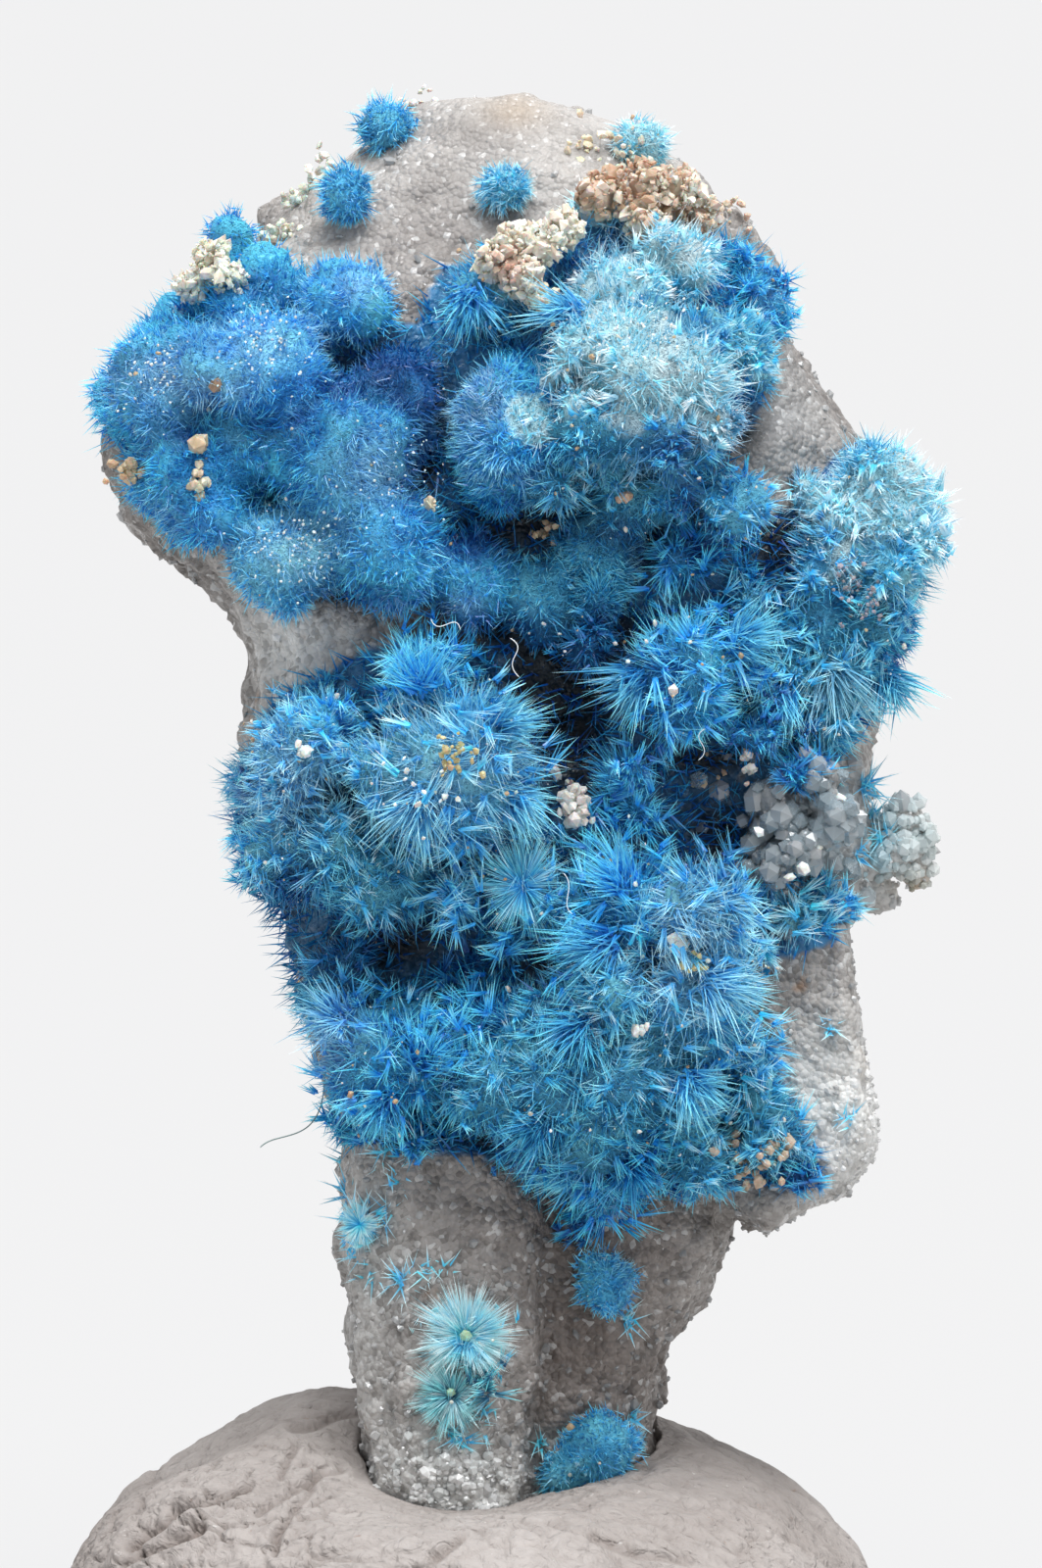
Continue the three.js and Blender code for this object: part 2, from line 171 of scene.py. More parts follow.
class Wire:
    """A shader socket. Sums of wires and numbers add Math nodes to the tree."""

    def __init__(self, tree, socket=None):
        self.tree = tree
        self.socket = socket

    def add(self, kind, settings=None, values=None, out=0):
        """A new node: its settings first, then the values or wires of its sockets."""
        node = self.tree.nodes.new("ShaderNode" + kind)
        for key, value in (settings or {}).items():
            setattr(node, key, value)
        for key, value in (values or {}).items():
            set_socket(node.inputs[key], value)
        return Wire(self.tree, node.outputs[out])

    def output(self, name):
        """Another output of the node that this wire comes from."""
        return Wire(self.tree, self.socket.node.outputs[name])

    def feed(self, socket):
        """Links this wire to a shader's socket."""
        self.tree.links.new(self.socket, socket)

    def math(self, operation, first, second=0.0):
        return self.add("Math", {"operation": operation}, {0: first, 1: second})

    def __add__(self, other):
        return self.math("ADD", self, other)

    def __sub__(self, other):
        return self.math("SUBTRACT", self, other)

    def __rsub__(self, other):
        return self.math("SUBTRACT", other, self)

    def __mul__(self, other):
        return self.math("MULTIPLY", self, other)

    __radd__ = __add__
    __rmul__ = __mul__

    def mix(self, first, second, blend="MIX"):
        """A colour between two others, with this wire as the share of the second."""
        settings = {"data_type": "RGBA", "blend_type": blend, "clamp_factor": True}
        return self.add("Mix", settings, {0: self, 6: first, 7: second}, out=2)

    def step(self, low, high):
        """0 below low, 1 above high, and between them a smooth slope."""
        values = {"Value": self, "From Min": low, "From Max": high}
        return self.add("MapRange", {"interpolation_type": "SMOOTHSTEP"}, values)

    def channels(self, layer=None):
        """The three numbers of this wire's colour, or of a colour attribute of the mesh."""
        colour = self.add("VertexColor", {"layer_name": layer}) if layer else self
        first = self.add("SeparateColor", values={"Color": colour})
        return [first.output(n) for n in range(3)]


def principled(name, **fixed):
    """A material with its shader's fixed sockets set, and the wire that new nodes start from."""
    finish = bpy.data.materials.new(name)
    finish.use_nodes = True
    shader = finish.node_tree.nodes["Principled BSDF"]
    for key, value in fixed.items():
        set_socket(shader.inputs[key.replace("_", " ").title().replace("Ior", "IOR")], value)
    return finish, shader.inputs, Wire(finish.node_tree)


STAGE_WIDTH = 1.6
FLOOR_FRONT = -0.6
FLOOR_BACK = 0.45
SWEEP_RADIUS = 0.25
WALL_TOP = 1.0
PAPER_DARK, PAPER_LIGHT = (0.015, 0.015, 0.015), (0.02, 0.02, 0.02)
GLOW_DARK, GLOW_LIGHT = (0.80, 0.80, 0.805), (0.825, 0.825, 0.83)

turn = np.linspace(0, math.pi / 2, 24)
sweep_back = np.r_[FLOOR_FRONT, FLOOR_BACK + SWEEP_RADIUS * np.sin(turn), FLOOR_BACK + SWEEP_RADIUS]
sweep_up = np.r_[0, SWEEP_RADIUS * (1 - np.cos(turn)), WALL_TOP]
sweep_across = np.linspace(-STAGE_WIDTH / 2, STAGE_WIDTH / 2, 9)
sweep = np.stack(np.broadcast_arrays(sweep_across, sweep_back[:, None], sweep_up[:, None]), axis=-1)
paper, paper_in, start = principled("sweep_paper", roughness=0.9, emission_strength=1.0)
place = start.add("TexCoord", out=3)
haze = start.add("TexNoise", values={"Vector": place, "Scale": 2.0, "Detail": 2.0})
haze.step(0.3, 0.7).mix(PAPER_DARK, PAPER_LIGHT).feed(paper_in["Base Color"])
haze.step(0.3, 0.7).mix(GLOW_DARK, GLOW_LIGHT).feed(paper_in["Emission Color"])
floor = placed(
    mesh_of("floor", sweep.reshape(-1, 3), grid_faces(len(sweep_back), len(sweep_across)), True),
    paper,
)
floor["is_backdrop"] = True

SOFT_BOXES = [
    # name, place, size, watts: above, front left, front right
    ("top_light", (0.03, -0.06, 0.36), 0.22, 1.95),
    ("left_light", (-0.34, -0.30, 0.14), 0.24, 0.16),
    ("right_light", (0.36, -0.24, 0.18), 0.24, 0.36),
]
ROOM_LIGHT = (0.92, 0.95, 1.0)
ROOM_STRENGTH = 0.42
target = leaned([0, 0, 14])
for name, place, size, watts in SOFT_BOXES:
    lamp = bpy.data.lights.new(name, "AREA")
    lamp.size = size
    lamp.energy = watts
    lit = bpy.data.objects.new(name, lamp)
    lit.location = place
    aim = lit.location - type(lit.location)(target)
    lit.rotation_euler = aim.to_track_quat("Z", "Y").to_euler()
    bpy.context.scene.collection.objects.link(lit)
world = bpy.data.worlds.new("studio")
world.use_nodes = True
set_socket(world.node_tree.nodes["Background"].inputs["Color"], ROOM_LIGHT)
set_socket(world.node_tree.nodes["Background"].inputs["Strength"], ROOM_STRENGTH)
bpy.context.scene.world = world
bpy.context.scene.view_settings.view_transform = "Standard"

# The stone
# One piece of sugary quartz: a wide slab on a narrow foot, grey-brown, paler and clearer at the
# front of the foot and in the flange low on the right. It broke from a vein and is unworked.

STONE_VOXEL = 0.105
SMOOTHING = 6  # rounds, after a solid is made again in small cells
SAME_PLACE = 0.001  # corners this near are one
RELIEF_SWELLS = ((0.13, 1.5, 3), (0.08, 0.6, 4), (0.05, 0.27, 5))  # height, size, seed
RELIEF_FACETS = ((0.62, 0.14, 0.05), (0.25, 0.16, 0.05))  # size, tilt, step from grain to grain
STONE_ZONES = {
    # strength, middle and reach of each spot
    # where the relief is calm: on the crown, right of the head and in the flange
    "calm": [
        (0.80, (-0.4, 0.4, 25.0), (6.0, 6.0, 2.4)),
        (0.55, (5.0, -1.2, 20.2), (2.0, 6.0, 2.4)),
        (0.40, (5.3, -0.4, 10.1), (1.3, 2.4, 2.3)),
    ],
    # pale and clear at the front of the foot, in the flange, at the left below the overhang, on the
    # crown and in the knob
    "pale": [
        (1.1, (-0.7, -1.8, 3.9), (1.4, 1.3, 1.0)),
        (0.45, (-1.9, -1.4, 6.8), (0.7, 1.6, 2.8)),
        (1.2, (5.4, -0.4, 9.8), (1.3, 2.4, 1.7)),
        (0.95, (-3.2, -1.0, 16.9), (1.2, 1.6, 1.0)),
        (0.10, (-0.6, 0.6, 24.8), (4.5, 3.5, 2.2)),
        (1.0, (6.4, 0.1, 13.7), (0.8, 1.4, 1.2)),
    ],
    # brown and dark at the foot's right, above the flange and behind the column
    "brown": [
        (0.95, (1.5, -0.6, 6.6), (1.3, 1.8, 3.0)),
        (0.60, (4.7, -1.1, 12.1), (1.1, 1.6, 1.2)),
        (0.70, (0.6, -0.6, 9.3), (1.7, 1.8, 1.2)),
    ],
    # blue-grey in the druse and right of the head
    "icy": [
        (0.95, (4.7, -1.8, 13.9), (1.5, 1.6, 1.2)),
        (0.35, (4.6, -1.4, 20.8), (1.0, 1.6, 1.4)),
    ],
    # rusty edges of the knob, the top and the flange
    "tan": [
        (0.9, (7.0, 0.0, 14.15), (0.22, 1.2, 0.5)),
        (0.8, (6.6, -0.2, 13.25), (0.35, 1.0, 0.25)),
        (0.4, (0.4, 0.6, 25.3), (0.5, 1.2, 0.3)),
        (0.5, (5.9, -0.6, 10.6), (0.25, 1.0, 0.3)),
    ],
}


def cell_value(cells, seed):
    """A number from 0 to 1 for each whole-number cell, the same each run: the three numbers are
    multiplied by large primes, added to the seed's, and mixed by shifts, in 32 bits."""
    i, j, k = np.moveaxis(cells.astype(np.int64).astype(np.uint32), -1, 0)
    h = i * np.uint32(374761393) + j * np.uint32(668265263) + k * np.uint32(1274126177)
    h = (h + np.uint32(seed * 974634777 % 2**32)) * np.uint32(1103515245)
    h = (h ^ (h >> np.uint32(13))) * np.uint32(1540483477)
    return (h ^ (h >> np.uint32(15))) / 4294967295


def swells(points, size, seed):
    """Smooth bumps from -1 to 1, about one size wide: the values at a cell's eight corners,
    blended along each axis by t * t * (3 - 2 t)."""
    q = points / size
    base = np.floor(q)
    t = q - base
    t = t * t * (3 - 2 * t)
    total = np.zeros(len(points))
    for corner in product((0, 1), repeat=3):
        corner = np.array(corner)
        share = np.prod(np.where(corner, t, 1 - t), axis=-1)
        total += share * cell_value(base + corner, seed)
    return 2 * total - 1


def grains_at(points, size, seed):
    """Which grain of a packed heap each point is in. Every cell of one size holds one scattered
    centre: gives the distance to the nearest and to the next, the nearest one's cell, and the
    way from it, all in sizes."""
    q = points / size
    base = np.floor(q)
    first = np.full(len(q), 9.0)
    second = np.full(len(q), 9.0)
    cell = np.zeros_like(q)
    way = np.zeros_like(q)
    for step in product((-1, 0, 1), repeat=3):
        here = base + np.array(step)
        centre = here + np.stack([cell_value(here, seed + n) for n in range(3)], axis=-1)
        off = q - centre
        far = np.linalg.norm(off, axis=-1)
        near = far < first
        second = np.where(near, first, np.minimum(second, far))
        first = np.where(near, far, first)
        cell[near] = here[near]
        way[near] = off[near]
    return first, second, cell, way


def spot(points, centre, reach):
    """1 at the centre, falling away as a bell over its reach in each direction."""
    return np.exp(-np.sum(((points - np.array(centre)) / np.array(reach)) ** 2, axis=-1))


def unit(ways):
    """The same directions with length 1."""
    return ways / np.linalg.norm(ways, axis=-1, keepdims=True)


def facing_camera(normals):
    """How squarely surfaces face the camera: 1 when they face it, below 0 when turned away."""
    return -(normals @ np.array([0, math.cos(LEAN), -math.sin(LEAN)]))


def merged_copy(node):
    """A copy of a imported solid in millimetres, its doubled corners merged."""
    merged = bmesh.new()
    merged.from_mesh(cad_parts[node].data)
    bmesh.ops.remove_doubles(merged, verts=merged.verts, dist=SAME_PLACE * MM)
    bmesh.ops.scale(merged, verts=merged.verts, vec=(1 / MM,) * 3)
    copy = bpy.data.meshes.new(node + "_copy")
    merged.to_mesh(copy)
    merged.free()
    return copy


def fine_copy(rough, voxel):
    """A mesh made again in small even cells and smoothed, with its points and normals."""
    holder = bpy.data.objects.new("rough", rough)
    bpy.context.scene.collection.objects.link(holder)
    remesh = holder.modifiers.new("cells", "REMESH")
    remesh.mode = "VOXEL"
    remesh.voxel_size = voxel
    smooth = holder.modifiers.new("smooth", "SMOOTH")
    smooth.iterations = SMOOTHING
    made = bpy.data.meshes.new_from_object(holder.evaluated_get(bpy.context.evaluated_depsgraph_get()))
    bpy.data.objects.remove(holder)
    points = np.empty(len(made.vertices) * 3, np.float32)
    made.vertices.foreach_get("co", points)
    normals = np.empty_like(points)
    made.vertex_normals.foreach_get("vector", normals)
    return made, points.reshape(-1, 3).astype(float), normals.reshape(-1, 3).astype(float)


stone_mesh, stone_points, stone_normals = fine_copy(merged_copy("matrix"), STONE_VOXEL)
stone_mesh.name = "stone"
stone_places = upright(stone_points * MM)
# Swells, then flat facets: each grain's surface is a slope of its own and a step up or down.
relief = sum(height * swells(stone_points, size, seed) for height, size, seed in RELIEF_SWELLS)
for size, tilt, step in RELIEF_FACETS:
    first, second, cell, way = grains_at(stone_points, size, 7)
    facet = unit(np.stack([cell_value(cell, 31 + n) for n in range(3)], axis=-1) - 0.5)
    relief += tilt * size * np.sum(way * facet, axis=-1) + step * (cell_value(cell, 40) - 0.5)
calm, pale, brown, icy, tan = (
    sum(strength * spot(stone_places, middle, reach) for strength, middle, reach in spots)
    for spots in STONE_ZONES.values()
)
relief *= 1 - calm.clip(0, 0.75)
stone_points += stone_normals * relief[:, None]
stone_mesh.vertices.foreach_set("co", (stone_points * MM).astype(np.float32).ravel())
stone_mesh.polygons.foreach_set("use_smooth", np.ones(len(stone_mesh.polygons), bool))
stone_mesh.update()

# Eight shares for the stone's look, in three layers; one channel is spare.
paint(stone_mesh, "zones", np.stack([pale, brown, icy], axis=-1))
paint(stone_mesh, "marks", np.stack([calm.clip(0, 1), tan.clip(0, 1), np.zeros_like(tan)], axis=-1))

# The blue covers the front inside this outline. Under it the stone is stained deep blue, and in the
# hollows between the balls it is painted nearly black, as painted shade.
BLUE_OUTLINE = [
    # columns and rows of the photograph
    (149, 333), (205, 290), (262, 276), (319, 283), (383, 269), (394, 335), (425, 333), (454, 269),
    (560, 262), (609, 213), (666, 235), (723, 234), (765, 255), (790, 319), (772, 425), (737, 468),
    (772, 524), (822, 517), (850, 468), (907, 451), (978, 517), (971, 581), (928, 638), (893, 720),
    (850, 785), (794, 808), (737, 794), (772, 800), (768, 850), (765, 900), (840, 890), (860, 960),
    (765, 985), (772, 1049), (822, 1134), (822, 1210), (737, 1215), (666, 1200), (609, 1255),
    (539, 1205), (468, 1176), (340, 1162), (319, 1091), (298, 992), (262, 907), (244, 794),
    (283, 709), (383, 665), (468, 668), (500, 640), (425, 618), (290, 604), (245, 560),
    (163, 520), (112, 454), (119, 383),
]
# Places on the blue front, each with its column and row in the photograph and its reach in pixels
# across and up: hollows painted nearly black as painted shade, pale frosted places that are partly
# painted highlight, and places of painted shade, a deeper blue, between the balls.
HOLLOWS = [
    (538, 535, 60, 36), (590, 700, 60, 50), (585, 790, 40, 70), (735, 850, 56, 56), (415, 965, 60, 30),
    (500, 640, 70, 26), (345, 985, 44, 30), (400, 372, 40, 22), (690, 455, 40, 24), (545, 700, 40, 40),
    (345, 398, 44, 20), (440, 410, 18, 34), (432, 478, 26, 34), (285, 436, 50, 18), (185, 442, 26, 18),
    (470, 556, 34, 18), (350, 608, 50, 12), (640, 545, 40, 22), (620, 640, 34, 24), (790, 560, 26, 30),
    (720, 775, 60, 16), (560, 985, 46, 16), (300, 905, 26, 40), (505, 1165, 40, 16), (760, 440, 22, 30),
    (718, 562, 34, 16), (700, 505, 16, 26), (800, 545, 18, 22),
]
# The frosted places: partly pale frosting, partly painted highlight on the lit tops of the lumps.
FROSTS_AND_HIGHLIGHTS = [
    (268, 355, 52, 30), (166, 386, 40, 30), (228, 398, 34, 18), (302, 560, 56, 34), (368, 290, 30, 22),
    (650, 345, 62, 34), (890, 500, 60, 50), (700, 400, 50, 30), (500, 415, 30, 24), (450, 790, 60, 40),
    (690, 985, 50, 50), (300, 800, 40, 60), (640, 250, 50, 30), (345, 1060, 30, 30), (705, 940, 40, 34),
    (470, 620, 26, 14), (380, 480, 46, 40),
]
DUSKS = [
    (560, 950, 44, 50), (500, 1005, 50, 34), (620, 452, 50, 24), (690, 505, 30, 26), (704, 330, 22, 22),
    (580, 1115, 56, 40), (640, 1185, 44, 24), (800, 640, 34, 26), (850, 610, 24, 24), (300, 905, 40, 30),
]
HOLLOW_DEPTH = -1.8
DARK_QUARTZ = (0.22, 0.20, 0.188)
LIGHT_QUARTZ = (0.43, 0.405, 0.385)
BROWN_QUARTZ = (0.19, 0.155, 0.135)
PALE_QUARTZ = (0.76, 0.76, 0.74)
ICY_QUARTZ = (0.30, 0.35, 0.38)
GRAIN_SHADE = (0.60, 0.59, 0.58)
GLINT = (0.88, 0.88, 0.87)
TAN_EDGE = (0.42, 0.30, 0.18)
RUST = (0.36, 0.23, 0.15)
DEEP_STAIN = (0.010, 0.10, 0.24)
LIGHT_STAIN = (0.025, 0.24, 0.48)
HOLLOW_PAINTED_SHADE = (0.008, 0.014, 0.02)
FINE_GRAIN = 10500.0  # grains on a metre
COARSE_GRAIN = 4200.0


def inside(outline, points):
    """Whether flat points are inside an outline: each edge that a level ray crosses counts."""
    corners = np.array([seen_at(*corner) for corner in outline])
    result = np.zeros(len(points), bool)
    x, y = points.T
    for (x0, y0), (x1, y1) in zip(corners, np.roll(corners, -1, axis=0)):
        if y0 != y1:
            result ^= ((y0 > y) != (y1 > y)) & (x < (x1 - x0) * (y - y0) / (y1 - y0) + x0)
    return result


facing = facing_camera(stone_normals)
wander = 0.12 * np.stack([swells(stone_places, 0.8, 15), swells(stone_places, 0.8, 16)], axis=-1)
turned_in = facing + 0.35 * swells(stone_places, 0.9, 17) > 0.1
covered = inside(BLUE_OUTLINE, stone_places[:, [0, 2]] + wander) * turned_in


def spotted(places, spots):
    """How far inside one of the spots each place is, seen from the front: 1 in its middle."""
    total = np.zeros(len(places))
    for column, row, wide, tall in spots:
        spot_across, spot_up = seen_at(column, row)
        reach = [wide * PIXEL, 4.0, tall * PIXEL]
        total += spot(places, [spot_across, HOLLOW_DEPTH, spot_up], reach)
    return total.clip(0, 1)


# Painted shade: how far each point lies in a hollow between the balls, where the stone is painted nearly
# black.
dark = spotted(stone_places, HOLLOWS)
mottle = 0.5 + 0.5 * swells(stone_places, 0.5, 9)
paint(stone_mesh, "stain_and_shade", np.stack([0.9 * covered, dark, mottle], axis=-1))

quartz, quartz_in, start = principled(
    "sugary_quartz",
    subsurface_weight=0.3,
    subsurface_scale=0.0006,
    subsurface_radius=(1.0, 0.9, 0.85),
)
place = start.add("TexCoord", out=3)
pale_share, brown_share, icy_share = start.channels("zones")
stain_share, hollow_shade_share, mottle_share = start.channels("stain_and_shade")
calm_share, tan_share, _ = start.channels("marks")
grains = start.add("TexVoronoi", values={"Vector": place, "Scale": FINE_GRAIN})
dome = 1 - grains.output("Distance")
tone, glint, _ = grains.output("Color").channels()
coarse = start.add("TexVoronoi", values={"Vector": place, "Scale": COARSE_GRAIN})
coarse_dome = 1 - coarse.output("Distance")
coarse_tone = coarse.output("Color").channels()[0]
cloud = start.add("TexNoise", values={"Vector": place, "Scale": 380.0, "Detail": 7.0, "Roughness": 0.62})
rust = start.add("TexNoise", values={"Vector": place, "Scale": 800.0, "Detail": 5.0})
body = cloud.step(0.35, 0.68).mix(DARK_QUARTZ, LIGHT_QUARTZ)
body = brown_share.mix(body, BROWN_QUARTZ)
body = pale_share.mix(body, PALE_QUARTZ)
body = icy_share.mix(body, ICY_QUARTZ)
speckle = 0.55 * tone + 0.45 * coarse_tone
body = ((1 - speckle.step(0.15, 0.6)) * (1 - calm_share)).mix(body, GRAIN_SHADE, "MULTIPLY")
# Painted highlight: a few grains are painted near white, as glints.
body = (0.35 * glint.step(0.88, 0.98)).mix(body, GLINT)
body = tan_share.mix(body, TAN_EDGE)
body = rust.step(0.67, 0.76).mix(body, RUST)
body = stain_share.mix(body, mottle_share.mix(DEEP_STAIN, LIGHT_STAIN))
# Painted shade: the stone in the hollows between the balls is painted nearly black.
body = hollow_shade_share.mix(body, HOLLOW_PAINTED_SHADE)
body.feed(quartz_in["Base Color"])
(0.6 - 0.45 * glint.step(0.5, 1.0)).feed(quartz_in["Roughness"])
crumb = start.add("TexNoise", values={"Vector": place, "Scale": 16000.0, "Detail": 3.0})
height = dome + 0.5 * tone + 1.4 * coarse_dome + 0.5 * crumb
bump = start.add("Bump", values={"Strength": 0.9, "Distance": 0.00005, "Height": height})
bump.feed(quartz_in["Normal"])
stone = placed(stone_mesh, quartz)
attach(stone, "root")
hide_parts("matrix")

# The sugary grain
# Small clear and milky quartz crystals that stud the stone, thickest at the foot's pale base and
# on the flange. They grew on it and are sunk in it nearly to their middles.

SUGAR_COUNT = 2300
SUGAR_RADIUS = 0.045
DULL = np.array([0.24, 0.24, 0.24])
MILKY = np.array([0.95, 0.95, 0.94])
rng = np.random.default_rng(11)

golden = (1 + 5**0.5) / 2
# A 20-faced ball: its 12 corners, and as faces every three corners that are one edge apart.
ICO_POINTS = np.array(
    [(a, b * golden, 0) for a, b in product((-1, 1), repeat=2)]
    + [(0, a, b * golden) for a, b in product((-1, 1), repeat=2)]
    + [(b * golden, 0, a) for a, b in product((-1, 1), repeat=2)],
    float,
) / math.hypot(1, golden)
apart = np.linalg.norm(ICO_POINTS[:, None] - ICO_POINTS[None], axis=-1)
edge = 2 / math.hypot(1, golden)
ICO_FACES = np.array(
    [
        (i, j, k)
        for i, j, k in product(range(12), repeat=3)
        if i < j
        and i < k
        and max(apart[i, j], apart[j, k], apart[i, k]) < edge * 1.01
        and np.linalg.det(ICO_POINTS[[i, j, k]]) > 0
        and min(apart[i, j], apart[j, k], apart[i, k]) > 0
    ]
)


def any_turns(count, rng):
    """Random rotation matrices, from random unit quaternions."""
    numbers = rng.normal(size=(4, count))
    w, x, y, z = numbers / np.linalg.norm(numbers, axis=0)
    rows = [
        [1 - 2 * (y * y + z * z), 2 * (x * y - z * w), 2 * (x * z + y * w)],
        [2 * (x * y + z * w), 1 - 2 * (x * x + z * z), 2 * (y * z - x * w)],
        [2 * (x * z - y * w), 2 * (y * z + x * w), 1 - 2 * (x * x + y * y)],
    ]
    return np.moveaxis(np.array(rows), -1, 0)


def tumbled(centres, radii, rng, rough=0.22, stretch=0.3):
    """Grains at these centres: a 20-faced ball each, its corners moved in or out, drawn long or
    flat, and turned at random. Gives points and triangles."""
    count = len(centres)
    reach = 1 + rough * rng.uniform(-1, 1, (count, 12, 1))
    draw = 1 + stretch * rng.uniform(-1, 1, (count, 1, 3))
    shapes = (ICO_POINTS * reach * draw) @ any_turns(count, rng)
    points = centres[:, None] + shapes * np.asarray(radii)[:, None, None]
    faces = ICO_FACES + 12 * np.arange(count)[:, None, None]
    return points.reshape(-1, 3), faces.reshape(-1, 3)


# How likely a grain is at each point: more on pale and brown stone, few under the blue, fewest
# where the surface is calm, and none down in the putty.
up = stone_places[:, 2]
weight = (0.16 + 1.1 * pale * (up < 14) + 0.4 * brown) * (1 - 0.97 * covered) * (up > 3.3)
weight *= 1 - 0.9 * calm.clip(0, 1)
weight += 3.0 * spot(stone_places, [-0.8, -2.0, 4.0], [1.1, 1.0, 0.7])
chosen = rng.choice(len(stone_places), SUGAR_COUNT, replace=False, p=weight / weight.sum())
size = SUGAR_RADIUS * rng.lognormal(0, 0.35, SUGAR_COUNT)
sugar_points, sugar_faces = tumbled(stone_points[chosen] + 0.1 * size[:, None], size, rng, stretch=0.5)
light = 0.28 + 0.45 * pale[chosen].clip(0, 1) - 0.2 * brown[chosen].clip(0, 1)
tint = np.repeat(light * rng.uniform(0.6, 1.5, SUGAR_COUNT), 12)
tint = DULL + (MILKY - DULL) * tint.clip(0, 1)[:, None]
clear, clear_in, start = principled(
    "clear_quartz", roughness=0.2, ior=1.54, transmission_weight=0.3
)
start.add("VertexColor", {"layer_name": "tint"}).feed(clear_in["Base Color"])
sugar_piece = placed(
    mesh_of("quartz_sugar", sugar_points * MM, sugar_faces, tint=tint), clear
)
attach(sugar_piece, "root")

# The druse, the knob and the column's base
# Short clear six-sided quartz crystals, grown side by side on the right of the stone, round the
# knob at its edge, and smaller on the foot's front just above the putty.

CRYSTAL_RADIUS = 0.10
GROWN = {
    # middle, reach, count, size, and the colours of the clearest and the milkiest
    "druse": ([4.75, -1.8, 13.9], [1.05, 1.5, 1.0], 300, 1.05, (0.60, 0.72, 0.78), (0.95, 0.97, 0.98)),
    "knob": ([6.35, 0.0, 13.95], [0.45, 1.0, 0.52], 110, 0.75, (0.76, 0.86, 0.87), (0.97, 1.0, 0.99)),
    "foot": ([-0.7, -1.9, 4.2], [0.8, 1.0, 0.45], 110, 0.55, (0.72, 0.74, 0.73), (0.97, 0.97, 0.96)),
}
STAINED_SIDES = [
    # colour, middle and reach: blue between the druse and the knob, tan at the knob's edges
    ((0.20, 0.55, 0.70), [5.85, -0.4, 13.9], [0.28, 1.5, 0.6]),
    ((0.46, 0.36, 0.20), [6.95, 0.0, 14.15], [0.20, 1.5, 0.45]),
    ((0.34, 0.27, 0.14), [6.45, 0.0, 13.25], [0.32, 1.5, 0.22]),
]


def rings_of(side, other, corners):
    """Corners evenly round each place, as ways from it: one side times the cosine of the turn and
    the other times its sine."""
    turn = np.arange(corners) * 2 * math.pi / corners
    return side[:, None] * np.cos(turn)[:, None] + other[:, None] * np.sin(turn)[:, None]


def crystals(feet, ways, radii, lengths):
    """Six-sided crystals: a ring of corners 0.3 of a length below the foot, a ring 0.35 above it,
    and a point at each end, half a length below and three quarters above."""
    count = len(feet)
    ways = unit(ways)
    side = unit(np.cross(ways, np.where(np.abs(ways[:, :1]) < 0.7, [[1.0, 0, 0]], [[0, 1.0, 0]])))
    ring = rings_of(side, np.cross(ways, side), 6) * radii[:, None, None]
    along = (ways * lengths[:, None])[:, None]
    foot = feet[:, None]
    rings = [foot + ring - 0.3 * along, foot + ring + 0.35 * along]
    points = np.concatenate([foot - 0.5 * along, *rings, foot + 0.75 * along], 1)
    k = np.arange(6)
    n = (k + 1) % 6
    tri = np.concatenate(
        [
            np.stack([0 * k, 1 + n, 1 + k], -1),
            np.stack([1 + k, 1 + n, 7 + n], -1),
            np.stack([1 + k, 7 + n, 7 + k], -1),
            np.stack([7 + k, 7 + n, 0 * k + 13], -1),
        ]
    )
    return points.reshape(-1, 3), (tri + 14 * np.arange(count)[:, None, None]).reshape(-1, 3)


icy_quartz, icy_in, start = principled("icy_quartz", roughness=0.14, ior=1.54, transmission_weight=0.7)
start.add("VertexColor", {"layer_name": "tint"}).feed(icy_in["Base Color"])
for name, (middle, reach, count, scale, clearest, milkiest) in GROWN.items():
    weight = spot(stone_places, middle, reach) ** 1.5 * (facing > -0.1) * (1 - 0.6 * dark)
    chosen = rng.choice(len(stone_places), count, replace=False, p=weight / weight.sum())
    ways = stone_normals[chosen] + 0.55 * rng.normal(size=(count, 3))
    radii = CRYSTAL_RADIUS * scale * rng.lognormal(0, 0.42, count).clip(0.4, 1.7)
    points, faces = crystals(stone_points[chosen], ways, radii, radii * rng.uniform(1.2, 2.3, count))
    milk = rng.uniform(0, 1, (count, 1)) ** 2.2
    tint = np.array(clearest) * (1 - milk) + np.array(milkiest) * milk
    for shade, side, side_reach in STAINED_SIDES:
        tint += (np.array(shade) - tint) * 0.8 * spot(stone_places[chosen], side, side_reach)[:, None]
    finish = icy_quartz if name == "druse" else clear
    tint = tint.repeat(14, axis=0)
    group = placed(mesh_of(name + "_crystals", points * MM, faces, tint=tint), finish)
    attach(group, "root")
